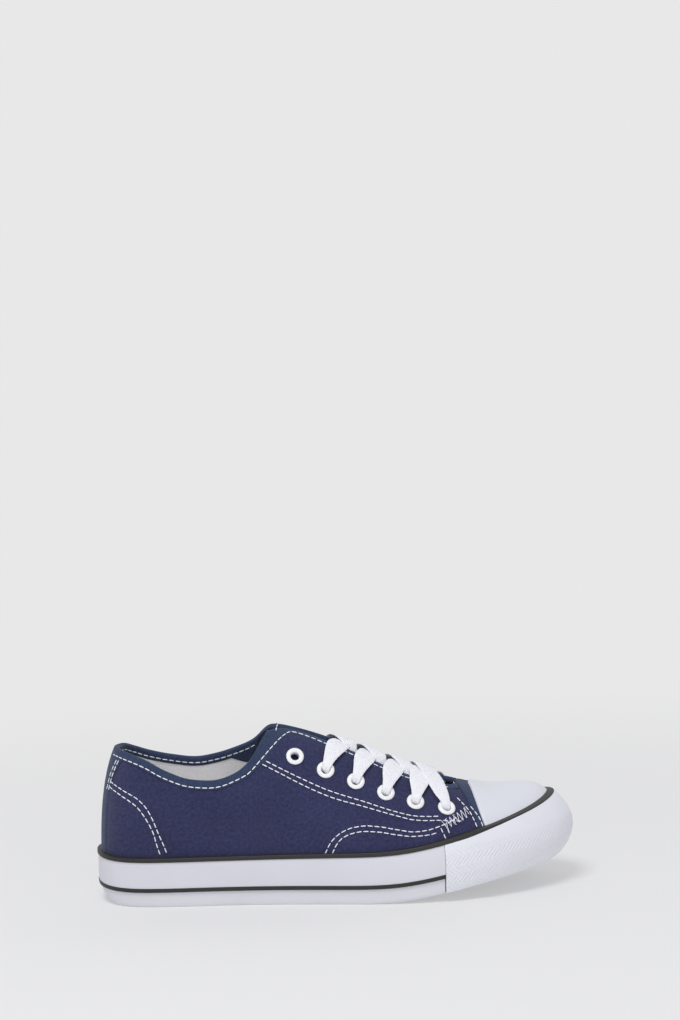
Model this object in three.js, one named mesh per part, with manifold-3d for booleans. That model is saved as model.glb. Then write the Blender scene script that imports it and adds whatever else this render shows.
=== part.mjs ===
// Low lace-up canvas sneaker, right shoe.
// Millimetres. X runs from heel to toe, +Y is the inner side of the foot, Z is up.
// One table of sections drives the last; every piece is that last moved in or out.
import * as THREE from 'three';
import Module from 'manifold-3d';

const wasm = await Module();
wasm.setup();

// ---------------------------------------------------------------- sizes
const SOLE_LENGTH = 270;
const FEATHER_HEIGHT = 13;
const WALL = 2;
const GAP = 0.3;
const RIDGE_BEND = 0.9;
const WIDEST_SHARE = 0.45;

const OUTSOLE_BAND = 8.7;
const OUTSOLE_INSET = 0.8;
const FOXING_BOTTOM = OUTSOLE_BAND + GAP;
const BUMPER_START = 195;
const BUMPER_SEAT = 3;
const INSOLE_THICKNESS = 3.5;
const INSOLE_INSET = WALL + 0.9;

const CAP_EDGE = 221;
const CAP_EDGE_BOW = 2.6;
const CAP_CLEAR = CAP_EDGE - CAP_EDGE_BOW;
const CAP_INNER = 0.4;
const CAP_THICKNESS = 1.6;

const LACE_THICKNESS = 1.2;
const LACE_WIDTH = 8;
const LACE_OVER = 2.2;
const LACE_UNDER = -2.95;
const LACE_TUCK = 3.6;
const LACE_LOW = 0.4;
const LACE_HUMP = 0.9;
const LACE_RISE = 2.4;
const TONGUE_OUTER = -4.1;
const TONGUE_THICKNESS = 2;

const EYELET_HOLE = 2.5;
const EYELET_BARREL = 3;
const EYELET_FLANGE = 5;
const EYELET_THICKNESS = 0.8;
const BARREL_DEPTH = 2.6;

// half: half width; bend: sideways bend of the middle line; lift: ground to sole bottom;
// height: sole side; topIn, botIn: how far the sole side leans in at its top and bottom;
// ridgeX, ridgeZ: top line of the last; full: 2 is an ellipse, more is squarer;
// wall: from the widest line of the sole in to the upper. Rows run heel to toe.
const COLUMNS = [
  'half', 'bend', 'lift', 'height', 'topIn',
  'botIn', 'ridgeX', 'ridgeZ', 'full', 'wall',
];
const SECTIONS = [
  [ 0.0,  0.0,  1.8, 28.0,  0.4, 3.4,    38,  104,  2.6, 2.8],
  [18.6,  0.0,  0.7, 28.0,  0.4, 3.0,    40,  104,  2.6, 2.8],
  [29.6,  0.0,  0.0, 28.0,  0.4, 2.0,    46,  104,  2.8, 2.8],
  [32.6,  0.0,  0.0, 28.0,  0.4, 1.6,    58,  103,  3.1, 2.8],
  [32.4, -0.8,  0.0, 28.0,  0.6, 1.6,    76,  102,  2.9, 2.8],
  [33.0, -2.6,  0.0, 28.3,  0.9, 1.6,   102, 96.8,  2.4, 2.8],
  [38.0, -3.6,  0.0, 28.8,  1.4, 1.6,   135, 87.4, 1.95, 2.8],
  [46.0, -2.0,  0.0, 29.2,  2.0, 1.6,   168,   73,  1.8, 2.8],
  [48.6,  2.0,  6.9, 29.6,  2.8, 1.8,   197, 60.6, 1.85, 3.0],
  [43.0,  5.6, 11.4, 30.8,  4.2, 2.8,   219, 53.5, 2.05, 4.2],
  [31.4,  8.0, 14.6, 32.6,  7.0, 4.6,   232, 54.2, 2.25, 6.0],
  [16.8,  9.2, 16.2, 34.0, 10.0, 6.4, 238.5, 54.4,  2.3, 8.0],
  [ 0.0,  9.6, 16.6, 34.4, 11.2, 7.2,   241, 54.4,  2.3, 8.6],
].map((row) => Object.fromEntries(COLUMNS.map((name, i) => [name, row[i]])));

// Height of the collar edge on each side, by distance from the heel.
const COLLAR = [
  { x: 0, outer: 87.2, inner: 87.2 },
  { x: 4, outer: 86.8, inner: 86.8 },
  { x: 14, outer: 85.2, inner: 83.8 },
  { x: 26, outer: 82.0, inner: 80.0 },
  { x: 40, outer: 75.8, inner: 76.8 },
  { x: 55, outer: 71.0, inner: 74.9 },
  { x: 66, outer: 70.2, inner: 76.6 },
  { x: 78, outer: 73.5, inner: 80.4 },
  { x: 88, outer: 82.0, inner: 85.2 },
  { x: 93.6, outer: 93.0, inner: 92.0 },
  { x: 99.6, outer: 106.0, inner: 103.0 },
];

// Half width of the throat opening, from the collar to its rounded end.
const THROAT = [
  { x: 92, half: 11.0 },
  { x: 98, half: 8.6 },
  { x: 104, half: 5.0 },
  { x: 109, half: 3.7 },
  { x: 114, half: 3.4 },
  { x: 122, half: 4.2 },
  { x: 132, half: 6.0 },
  { x: 150, half: 8.4 },
  { x: 165, half: 10.8 },
  { x: 182, half: 12.8 },
  { x: 196, half: 13.2 },
  { x: 205, half: 10.8 },
  { x: 210, half: 6.2 },
  { x: 212.5, half: 0.0 },
];

// Behind THROAT_BEGIN the collar alone trims the upper: the heel is narrower than the throat.
const THROAT_BEGIN = 70;
const THROAT_END = THROAT[THROAT.length - 1].x;
const COLLAR_END = COLLAR[COLLAR.length - 1].x;
const EDGE_BLEND = 0.06;

// Eyelets counted from the toe; across is measured out from the top line.
const EYELETS = [
  { x: 199.4, across: 29.8 },
  { x: 181.2, across: 28.4 },
  { x: 164.2, across: 26.0 },
  { x: 147.2, across: 23.4 },
  { x: 130.2, across: 21.4 },
  { x: 112.9, across: 19.2 },
];

// Half width of the tongue, from its free end to where it is sewn in.
const TONGUE = [
  { x: 95.5, half: 13.0 },
  { x: 97.0, half: 18.0 },
  { x: 101.0, half: 21.5 },
  { x: 120.0, half: 24.0 },
  { x: 160.0, half: 25.0 },
  { x: 196.0, half: 24.0 },
  { x: 214.5, half: 20.0 },
];

const HEEL_GROOVES = { from: 20, to: 68, step: 8 };
const FOREFOOT_GROOVES = { from: 113, to: 239, step: 9 };
const GROOVE = { width: 2.4, depth: 1.5, rim: 9 };
const WAIST = { from: 76, to: 104, inset: 11, depth: 1.2 };

const FINISH = {
  canvas: { color: 0x34375c, roughness: 0.9, metalness: 0 },
  rubber: { color: 0xdcdde4, roughness: 0.55, metalness: 0 },
  lining: { color: 0xd8d6d2, roughness: 0.9, metalness: 0 },
  cotton: { color: 0xf2f2f4, roughness: 0.85, metalness: 0 },
  enamel: { color: 0xeeeef0, roughness: 0.3, metalness: 0 },
};

// ---------------------------------------------------------------- curves
// Smooth value of one column at t, 0 at the heel and 1 at the toe.
// Beyond the ends a half width changes sign and every other column is mirrored.
function column(name, t) {
  const last = SECTIONS.length - 1;
  const sign = name === 'half' ? -1 : 1;
  const at = (k) => {
    if (k < 0) return sign * SECTIONS[1][name];
    if (k > last) return sign * SECTIONS[last - 1][name];
    return SECTIONS[k][name];
  };
  const place = Math.min(Math.max(t, 0), 1) * last;
  const k = Math.min(Math.floor(place), last - 1);
  const u = place - k;
  const weights = [
    (1 - u) ** 3 / 6,
    (3 * u ** 3 - 6 * u ** 2 + 4) / 6,
    (-3 * u ** 3 + 3 * u ** 2 + 3 * u + 1) / 6,
    u ** 3 / 6,
  ];
  return weights.reduce((sum, weight, i) => sum + weight * at(k - 1 + i), 0);
}

const stationX = (t) => SOLE_LENGTH * (1 - Math.cos(Math.PI * t)) / 2;
const stationT = (x) => Math.acos(1 - 2 * x / SOLE_LENGTH) / Math.PI;

// Curve through a table that never overshoots its rows.
function curve(rows, name, x) {
  const xs = rows.map((row) => row.x);
  const ys = rows.map((row) => row[name]);
  const n = xs.length;
  const at = Math.min(Math.max(x, xs[0]), xs[n - 1]);
  const slopes = ys.slice(1).map((y, i) => (y - ys[i]) / (xs[i + 1] - xs[i]));
  const tangents = ys.map((y, i) => {
    if (i === 0) return slopes[0];
    if (i === n - 1) return slopes[n - 2];
    const before = slopes[i - 1];
    const after = slopes[i];
    return before * after > 0 ? 2 * before * after / (before + after) : 0;
  });
  let i = 0;
  while (i < n - 2 && at > xs[i + 1]) i += 1;
  const h = xs[i + 1] - xs[i];
  const u = (at - xs[i]) / h;
  return (2 * u ** 3 - 3 * u ** 2 + 1) * ys[i]
    + (u ** 3 - 2 * u ** 2 + u) * h * tangents[i]
    + (-2 * u ** 3 + 3 * u ** 2) * ys[i + 1]
    + (u ** 3 - u ** 2) * h * tangents[i + 1];
}

function smallerBlend(a, b, width) {
  const h = Math.max(width - Math.abs(a - b), 0) / width;
  return Math.min(a, b) - h * h * width / 4;
}

// ---------------------------------------------------------------- last and sole
// side is -1 on the outer side of the foot and +1 on the inner side.
function planPoint(t, side) {
  return [stationX(t), column('bend', t) + side * column('half', t)];
}

// The sole's outline in plan, moved inward.
function outline(t, side, inset) {
  const [x, y] = planPoint(t, side);
  if (t < 1e-6) return [x + inset, y];
  if (t > 1 - 1e-6) return [x - inset, y];
  const step = 1e-4;
  const [ax, ay] = planPoint(Math.max(t - step, 0), side);
  const [bx, by] = planPoint(Math.min(t + step, 1), side);
  const length = Math.hypot(bx - ax, by - ay);
  return [x + side * inset * (by - ay) / length, y - side * inset * (bx - ax) / length];
}

const soleBottom = (t) => column('lift', t);
const feather = (t) => column('lift', t) + FEATHER_HEIGHT;
const soleTop = (t) => column('lift', t) + column('height', t);

// How far the sole's side has leaned in from its widest line at height z.
function lean(t, z) {
  const share = (z - soleBottom(t)) / column('height', t);
  const low = Math.max(0, 1 - share / WIDEST_SHARE);
  const high = Math.max(0, (share - WIDEST_SHARE) / (1 - WIDEST_SHARE));
  return column('botIn', t) * low ** 2 + column('topIn', t) * high ** 2;
}

function solePoint(t, side, inset, z) {
  const [x, y] = outline(t, side, inset);
  return new THREE.Vector3(x, y, z);
}

// The last: v is 0 where it meets the sole and 1 on the top line.
function lastPoint(t, side, v) {
  const [baseX, baseY] = outline(t, side, column('wall', t));
  const power = 2 / column('full', t);
  const angle = v * Math.PI / 2;
  const across = 1 - Math.max(Math.cos(angle), 0) ** power;
  const up = Math.max(Math.sin(angle), 0) ** power;
  const ridgeY = RIDGE_BEND * column('bend', t);
  return new THREE.Vector3(
    baseX + (column('ridgeX', t) - baseX) * across,
    baseY + (ridgeY - baseY) * across,
    feather(t) + (column('ridgeZ', t) - feather(t)) * up,
  );
}

// s goes once round the shoe: 0 heel, 1 toe by the outer side, 2 heel again.
function fold(s) {
  const turn = ((s % 2) + 2) % 2;
  return turn <= 1 ? { t: turn, side: -1 } : { t: 2 - turn, side: 1 };
}

function lastNormal(t, side, v) {
  const step = 1e-4;
  if (v > 1 - 1e-6) {
    const middle = Math.min(Math.max(t, 0.02), 0.98);
    const run = lastPoint(middle + step, side, 1).sub(lastPoint(middle - step, side, 1));
    return new THREE.Vector3(-run.z, 0, run.x).normalize();
  }
  const s = side < 0 ? t : 2 - t;
  const ahead = fold(s + step);
  const behind = fold(s - step);
  const along = lastPoint(ahead.t, ahead.side, v).sub(lastPoint(behind.t, behind.side, v));
  const above = lastPoint(t, side, Math.min(v + step, 1));
  const up = above.sub(lastPoint(t, side, Math.max(v - step, 0)));
  return along.cross(up).normalize();
}

function shellPoint(t, side, v, offset) {
  return lastPoint(t, side, v).addScaledVector(lastNormal(t, side, v), offset);
}

function vAtHeight(t, z) {
  const share = (z - feather(t)) / (column('ridgeZ', t) - feather(t));
  return Math.asin(Math.min(Math.max(share, 0), 1) ** (column('full', t) / 2)) * 2 / Math.PI;
}

function vAtAcross(t, across) {
  const share = across / (column('half', t) - column('wall', t));
  return Math.acos(Math.min(Math.max(share, 0), 1) ** (column('full', t) / 2)) * 2 / Math.PI;
}

// A point over the instep: across is signed, minus on the outer side.
function instepPoint(x, across, offset) {
  const t = stationT(x);
  return shellPoint(t, across < 0 ? -1 : 1, vAtAcross(t, Math.abs(across)), offset);
}

// Where the upper stops: at the collar, at the throat, or on the top line.
function topEdge(t, side) {
  const x = stationX(t);
  if (x >= THROAT_END - 1e-6) return 1;
  const collar = vAtHeight(t, curve(COLLAR, side < 0 ? 'outer' : 'inner', x));
  if (x < THROAT_BEGIN) return collar;
  const throat = vAtAcross(t, curve(THROAT, 'half', x));
  if (x >= COLLAR_END) return throat;
  return smallerBlend(collar, throat, EDGE_BLEND);
}

// ---------------------------------------------------------------- stations and rows
const EXTRA_STATIONS = [
  78, 86, 90, 94, 97.5, 101, 106, BUMPER_START - GAP, BUMPER_START,
  205, 209, 211.4, THROAT_END, CAP_CLEAR, CAP_EDGE,
];

function makeStations(count) {
  const extra = EXTRA_STATIONS.map(stationT);
  const even = Array.from({ length: count + 1 }, (_, i) => i / count);
  const clear = (t) => t === 0 || t === 1 || extra.every((e) => Math.abs(e - t) > 0.4 / count);
  return [...even.filter(clear), ...extra].sort((a, b) => a - b);
}

const STATIONS = makeStations(32);
const ROWS_ABOVE_SOLE = 5;

// Rows of the upper: three up the sole's side, then on to its own edge.
function upperRows(t, edge) {
  const middle = (feather(t) + soleTop(t)) / 2;
  const top = vAtHeight(t, soleTop(t));
  const rows = [0, vAtHeight(t, middle), top];
  for (let i = 1; i <= ROWS_ABOVE_SOLE; i += 1) {
    rows.push(top + (edge - top) * i / ROWS_ABOVE_SOLE);
  }
  return rows;
}

// ---------------------------------------------------------------- solids
class Body {
  constructor() {
    this.points = [];
    this.triangles = [];
    this.found = new Map();
  }

  point(p) {
    const cell = [p.x, p.y, p.z].map((value) => Math.round(value * 500) / 500);
    const key = cell.join(' ');
    if (!this.found.has(key)) {
      this.found.set(key, this.points.length);
      this.points.push(cell);
    }
    return this.found.get(key);
  }

  triangle(a, b, c) {
    const corners = [this.point(a), this.point(b), this.point(c)];
    if (new Set(corners).size === 3) this.triangles.push(corners);
  }

  quad(a, b, c, d) {
    this.triangle(a, b, c);
    this.triangle(a, c, d);
  }

  // Faces between neighbouring rows of points.
  sheet(rows, flip = false) {
    for (let i = 0; i + 1 < rows.length; i += 1) {
      for (let j = 0; j + 1 < rows[i].length; j += 1) {
        const corners = [rows[i][j], rows[i + 1][j], rows[i + 1][j + 1], rows[i][j + 1]];
        if (flip) corners.reverse();
        this.quad(...corners);
      }
    }
  }

  volume() {
    const corner = (i) => new THREE.Vector3(...this.points[i]);
    return this.triangles.reduce((sum, [a, b, c]) => (
      sum + corner(a).dot(corner(b).cross(corner(c))) / 6), 0);
  }

  solid() {
    const outward = this.volume() > 0;
    const triangles = this.triangles.map(([a, b, c]) => (outward ? [a, b, c] : [a, c, b]));
    return new wasm.Manifold(new wasm.Mesh({
      numProp: 3,
      vertProperties: new Float32Array(this.points.flat()),
      triVerts: new Uint32Array(triangles.flat()),
    }));
  }
}

// Rings of points joined one to the next; a ring is two ladders of equal length.
function sweep(rings, capped) {
  const body = new Body();
  body.sheet(rings.map((ring) => [...ring, ring[0]]));
  if (capped) {
    const ends = [[rings[0], false], [rings[rings.length - 1], true]];
    for (const [ring, flip] of ends) {
      const half = ring.length / 2;
      const rungs = Array.from({ length: half }, (_, j) => [ring[j], ring[ring.length - 1 - j]]);
      body.sheet(rungs, flip);
    }
  }
  return body.solid();
}

function fromGeometry(geometry) {
  const body = new Body();
  const flat = geometry.index ? geometry.toNonIndexed() : geometry;
  const position = flat.getAttribute('position');
  const corner = (i) => new THREE.Vector3().fromBufferAttribute(position, i);
  for (let i = 0; i < position.count; i += 3) {
    body.triangle(corner(i), corner(i + 1), corner(i + 2));
  }
  return body.solid();
}

function toGeometry(solid) {
  const mesh = solid.getMesh();
  const geometry = new THREE.BufferGeometry();
  const positions = new THREE.BufferAttribute(new Float32Array(mesh.vertProperties), 3);
  geometry.setAttribute('position', positions);
  geometry.setIndex(Array.from(mesh.triVerts));
  return geometry;
}

// Moves a shape made along +Z so that it stands on a point and looks along an axis.
function standOn(geometry, origin, axis) {
  const turn = new THREE.Quaternion().setFromUnitVectors(new THREE.Vector3(0, 0, 1), axis);
  return geometry.applyQuaternion(turn).translate(origin.x, origin.y, origin.z);
}

// ---------------------------------------------------------------- sole pieces
const inBumper = (t) => stationX(t) > BUMPER_START - GAP / 2;

// Inner face of the bumper below the upper, measured in from the widest line.
function bumperSeat(t, z) {
  const share = Math.min((z - soleBottom(t)) / OUTSOLE_BAND, 1);
  const low = column('botIn', t) + BUMPER_SEAT;
  return low + (column('wall', t) - GAP - low) * share;
}

function outsoleRing(t) {
  const bottom = soleBottom(t);
  const band = bottom + OUTSOLE_BAND;
  const top = feather(t) - GAP;
  const inset = (z) => (inBumper(t) ? bumperSeat(t, z) + GAP : lean(t, z) + OUTSOLE_INSET);
  const half = (side) => [
    solePoint(t, side, inset(bottom), bottom),
    solePoint(t, side, inset(bottom + OUTSOLE_BAND / 2), bottom + OUTSOLE_BAND / 2),
    solePoint(t, side, inset(band), band),
    solePoint(t, side, column('wall', t), band),
    solePoint(t, side, column('wall', t), top),
  ];
  return [...half(-1), ...half(1).reverse()];
}

function groove(x) {
  const t = stationT(x);
  const step = 0.5;
  const rise = soleBottom(stationT(x + step)) - soleBottom(stationT(x - step));
  const slope = Math.atan2(rise, 2 * step);
  const half = column('half', t) - column('botIn', t) - GROOVE.rim;
  const box = new THREE.BoxGeometry(GROOVE.width, 2 * half, 2 * GROOVE.depth);
  box.rotateY(-slope);
  return fromGeometry(box.translate(x, column('bend', t), soleBottom(t)));
}

function waistPocket() {
  const steps = 4;
  const rings = Array.from({ length: steps + 1 }, (_, i) => {
    const t = stationT(WAIST.from + (WAIST.to - WAIST.from) * i / steps);
    return [
      solePoint(t, -1, WAIST.inset, -1),
      solePoint(t, 1, WAIST.inset, -1),
      solePoint(t, 1, WAIST.inset, WAIST.depth),
      solePoint(t, -1, WAIST.inset, WAIST.depth),
    ];
  });
  return sweep(rings, true);
}

function outsole() {
  const grooves = [];
  for (const zone of [HEEL_GROOVES, FOREFOOT_GROOVES]) {
    for (let x = zone.from; x <= zone.to; x += zone.step) grooves.push(groove(x));
  }
  const plate = sweep(STATIONS.map(outsoleRing), false);
  return plate.subtract(wasm.Manifold.union([...grooves, waistPocket()]));
}

function insole() {
  return sweep(STATIONS.map((t) => {
    const bottom = feather(t);
    const inset = column('wall', t) + INSOLE_INSET;
    return [
      solePoint(t, -1, inset, bottom),
      solePoint(t, -1, inset, bottom + INSOLE_THICKNESS),
      solePoint(t, 1, inset, bottom + INSOLE_THICKNESS),
      solePoint(t, 1, inset, bottom),
    ];
  }), false);
}

// Rings of a band: its outer face from the bottom up, its inner face back down.
function bandRing(t, side, bottom, shoulder, seat, clearance) {
  const [, middle, top] = upperRows(t, 1);
  const heights = [
    bottom, shoulder, feather(t), (feather(t) + soleTop(t)) / 2, soleTop(t),
  ];
  const outer = heights.map((z) => solePoint(t, side, lean(t, z), z));
  const inner = [
    solePoint(t, side, seat(bottom), bottom),
    solePoint(t, side, seat(shoulder), shoulder),
    solePoint(t, side, column('wall', t) - clearance, feather(t)),
    shellPoint(t, side, middle, clearance),
    shellPoint(t, side, top, clearance),
  ];
  return [...outer, ...inner.reverse()];
}

function foxing() {
  const reach = STATIONS.filter((t) => stationX(t) < BUMPER_START - GAP / 2);
  const turns = [...reach.map((t) => -t).reverse(), ...reach.slice(1)];
  return sweep(turns.map((s) => {
    const { t, side } = fold(s);
    const bottom = soleBottom(t) + FOXING_BOTTOM;
    const shoulder = (bottom + feather(t)) / 2;
    return bandRing(t, side, bottom, shoulder, () => column('wall', t) - GAP, GAP);
  }), true);
}

function bumper() {
  const reach = STATIONS.filter((t) => stationX(t) > BUMPER_START - GAP / 2);
  const turns = [...reach, ...reach.slice(0, -1).reverse().map((t) => 2 - t)];
  const overCap = CAP_INNER + CAP_THICKNESS + GAP;
  return sweep(turns.map((s) => {
    const { t, side } = fold(s);
    const near = (stationX(t) - THROAT_END) / (CAP_CLEAR - THROAT_END);
    const clearance = GAP + (overCap - GAP) * Math.min(Math.max(near, 0), 1);
    const shoulder = soleBottom(t) + OUTSOLE_BAND;
    return bandRing(t, side, soleBottom(t), shoulder, (z) => bumperSeat(t, z), clearance);
  }), true);
}

// ---------------------------------------------------------------- upper pieces
function upperShell() {
  const body = new Body();
  for (const side of [-1, 1]) {
    const face = (offset) => STATIONS.map((t) => (
      upperRows(t, topEdge(t, side)).map((v) => shellPoint(t, side, v, offset))));
    const outer = face(0);
    const inner = face(-WALL);
    const top = outer[0].length - 1;
    const open = STATIONS.filter((t) => stationX(t) <= THROAT_END + 1e-6).length;
    body.sheet(outer, side > 0);
    body.sheet(inner, side < 0);
    const bottomRim = outer.map((row, i) => [inner[i][0], row[0]]);
    const topRim = outer.slice(0, open).map((row, i) => [row[top], inner[i][top]]);
    body.sheet(bottomRim, side > 0);
    body.sheet(topRim, side > 0);
  }
  return body.solid();
}

function eyeletPlaces() {
  const places = [];
  for (const [name, side] of [['l', -1], ['m', 1]]) {
    EYELETS.forEach((row, i) => {
      const t = stationT(row.x);
      const v = vAtAcross(t, row.across);
      places.push({
        name: `eyelet_${name}${i + 1}`,
        at: lastPoint(t, side, v),
        axis: lastNormal(t, side, v),
      });
    });
  }
  return places;
}

function upper() {
  const drills = eyeletPlaces().map(({ at, axis }) => {
    const drill = new THREE.CylinderGeometry(
      EYELET_BARREL + GAP, EYELET_BARREL + GAP, 4 * WALL, 12);
    drill.rotateX(Math.PI / 2);
    return fromGeometry(standOn(drill, at, axis));
  });
  return upperShell().subtract(wasm.Manifold.union(drills));
}

function toeCap() {
  const columns = 12;
  const body = new Body();
  for (const side of [-1, 1]) {
    const face = (offset) => Array.from({ length: columns + 1 }, (_, i) => {
      const rows = upperRows(stationT(CAP_EDGE), 1);
      return rows.map((_, j) => {
        const share = j / (rows.length - 1);
        const start = stationT(CAP_EDGE - CAP_EDGE_BOW * Math.sin(Math.PI * share));
        const t = start + (1 - start) * i / columns;
        return shellPoint(t, side, upperRows(t, 1)[j], offset);
      });
    });
    const inner = face(CAP_INNER);
    const outer = face(CAP_INNER + CAP_THICKNESS);
    body.sheet(outer, side > 0);
    body.sheet(inner, side < 0);
    body.sheet([inner[0], outer[0]], side > 0);
    body.sheet(outer.map((row, i) => [inner[i][0], row[0]]), side > 0);
  }
  return body.solid();
}

function tongue() {
  const across = 10;
  const xs = [95.5, 97, 101, 108, 118, 130, 142, 154, 166, 178, 190, 202, 214.5];
  const face = (offset) => xs.map((x) => {
    const half = curve(TONGUE, 'half', x);
    return Array.from({ length: across + 1 }, (_, j) => (
      instepPoint(x, half * (2 * j / across - 1), offset)));
  });
  const rings = face(TONGUE_OUTER);
  const under = face(TONGUE_OUTER - TONGUE_THICKNESS);
  return sweep(rings.map((row, i) => [...row, ...under[i].reverse()]), true);
}

// ---------------------------------------------------------------- laces
// A flat ribbon over the instep from one (x, across) place to another.
function ribbon(from, to, height) {
  const steps = 12;
  const centre = Array.from({ length: steps + 1 }, (_, i) => {
    const u = i / steps;
    const x = from.x + (to.x - from.x) * u;
    const across = from.across + (to.across - from.across) * u;
    const normal = instepPoint(x, across, 1).sub(instepPoint(x, across, 0));
    return { at: instepPoint(x, across, height(u)), normal };
  });
  const rings = centre.map(({ at, normal }, i) => {
    const ahead = centre[Math.min(i + 1, steps)].at;
    const behind = centre[Math.max(i - 1, 0)].at;
    const run = ahead.clone().sub(behind).normalize();
    const width = run.clone().cross(normal).normalize().multiplyScalar(LACE_WIDTH / 2);
    const up = width.clone().cross(run).normalize().multiplyScalar(LACE_THICKNESS / 2);
    return [
      at.clone().sub(width).sub(up),
      at.clone().add(width).sub(up),
      at.clone().add(width).add(up),
      at.clone().sub(width).add(up),
    ];
  });
  return sweep(rings, true);
}

const smooth = (u) => {
  const w = Math.min(Math.max(u, 0), 1);
  return w * w * (3 - 2 * w);
};

// Two ribbons from the eyelets of one row to the opposite eyelets of the next.
// The first pair starts over its own eyelets, the others under the throat's edge.
function crossing(n) {
  const low = EYELETS[n];
  const high = EYELETS[n + 1];
  const halves = [-1, 1].map((side) => {
    const throat = curve(THROAT, 'half', low.x);
    const start = n === 0 ? low.across : throat - LACE_TUCK;
    const share = (low.across - start) / (low.across + high.across);
    const from = { x: low.x + (high.x - low.x) * share, across: side * start };
    const to = { x: high.x, across: -side * high.across };
    const base = n === 0 ? LACE_OVER : LACE_LOW;
    const hump = side < 0 ? LACE_HUMP : 0;
    return ribbon(from, to, (u) => (
      base + (LACE_OVER - base) * smooth(u * LACE_RISE) + hump * Math.sin(Math.PI * u) ** 2));
  });
  return wasm.Manifold.union(halves);
}

function laceBar() {
  const { x, across } = EYELETS[0];
  const reach = across - EYELET_BARREL - LACE_THICKNESS;
  return ribbon({ x, across: -reach }, { x, across: reach }, () => LACE_UNDER - 0.1);
}

// ---------------------------------------------------------------- eyelets
function eyelet({ at, axis }) {
  const top = GAP + EYELET_THICKNESS;
  const profile = [
    [EYELET_HOLE, -BARREL_DEPTH],
    [EYELET_BARREL, -BARREL_DEPTH],
    [EYELET_BARREL, GAP],
    [EYELET_FLANGE, GAP],
    [EYELET_FLANGE - 0.3, top - 0.2],
    [EYELET_FLANGE - 1.2, top],
    [EYELET_HOLE, top - 0.5],
    [EYELET_HOLE, -BARREL_DEPTH],
  ].map(([r, h]) => new THREE.Vector2(r, h));
  const ring = new THREE.LatheGeometry(profile, 12).rotateX(Math.PI / 2);
  return fromGeometry(standOn(ring, at, axis));
}

// ---------------------------------------------------------------- assembly
const PIECES = [
  ['outsole', 'rubber', outsole],
  ['foxing', 'rubber', foxing],
  ['toe_bumper', 'rubber', bumper],
  ['toe_cap', 'rubber', toeCap],
  ['upper', 'canvas', upper],
  ['tongue', 'canvas', tongue],
  ['insole', 'lining', insole],
  ['lace_bar', 'cotton', laceBar],
  ...[0, 1, 2, 3].map((n) => [`lace_cross_${n + 1}`, 'cotton', () => crossing(n)]),
  ...eyeletPlaces().map((place) => [place.name, 'enamel', () => eyelet(place)]),
];

const shoe = new THREE.Group();
shoe.name = 'canvas_sneaker';
for (const [name, finish, make] of PIECES) {
  const mesh = new THREE.Mesh(
    toGeometry(make()),
    new THREE.MeshStandardMaterial(FINISH[finish]),
  );
  mesh.name = name;
  shoe.add(mesh);
}

// The frame's origin is the middle of the bounding box, on the ground.
const box = new THREE.Box3().setFromObject(shoe);
const middle = box.getCenter(new THREE.Vector3());
for (const mesh of shoe.children) {
  mesh.geometry.translate(-middle.x, -middle.y, -box.min.z);
}

export default shoe;
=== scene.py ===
# %% [markdown]
# # A low canvas sneaker, right foot
# A shoe is made over a last, a block in the shape of the foot. Everything soft is
# pulled over the last and everything hard is wrapped round its foot. This lesson does
# the same with numpy: one function gives the surface of the last, and each piece is
# that surface moved in or out, between edges that are written down in millimetres.

# %% Load the fixed frame
import math

import bpy
import numpy as np
from mathutils import Matrix, Vector


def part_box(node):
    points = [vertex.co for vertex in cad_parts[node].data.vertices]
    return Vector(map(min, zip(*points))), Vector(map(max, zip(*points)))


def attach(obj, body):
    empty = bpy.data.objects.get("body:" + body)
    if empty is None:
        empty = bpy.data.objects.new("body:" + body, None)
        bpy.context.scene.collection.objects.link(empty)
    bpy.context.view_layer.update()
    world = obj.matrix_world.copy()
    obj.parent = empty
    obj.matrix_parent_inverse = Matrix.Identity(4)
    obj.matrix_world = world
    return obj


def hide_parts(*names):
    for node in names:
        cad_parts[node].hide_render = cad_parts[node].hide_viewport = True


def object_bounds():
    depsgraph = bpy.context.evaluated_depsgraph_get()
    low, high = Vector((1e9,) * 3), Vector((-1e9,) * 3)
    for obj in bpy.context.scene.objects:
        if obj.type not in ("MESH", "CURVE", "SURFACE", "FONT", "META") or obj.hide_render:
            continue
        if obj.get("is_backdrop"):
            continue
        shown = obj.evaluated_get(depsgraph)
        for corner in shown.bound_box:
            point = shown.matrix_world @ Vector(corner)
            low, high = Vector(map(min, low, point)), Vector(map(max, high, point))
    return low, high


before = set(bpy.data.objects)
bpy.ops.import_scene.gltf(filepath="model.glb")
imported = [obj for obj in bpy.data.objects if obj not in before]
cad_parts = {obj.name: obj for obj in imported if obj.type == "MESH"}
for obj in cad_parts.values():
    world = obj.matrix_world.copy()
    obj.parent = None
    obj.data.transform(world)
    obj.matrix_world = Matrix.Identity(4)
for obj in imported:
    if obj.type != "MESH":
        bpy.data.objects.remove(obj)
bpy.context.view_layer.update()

# %% [markdown]
# ## The table of sections
# A shoemaker describes a last by sections from heel to toe. Each row here is one
# section, and a smooth curve runs through every column. Cubic B-splines are used
# because they never wiggle between rows; the half width changes sign past either end,
# so that the outline closes in a round nose and a round heel.

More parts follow.
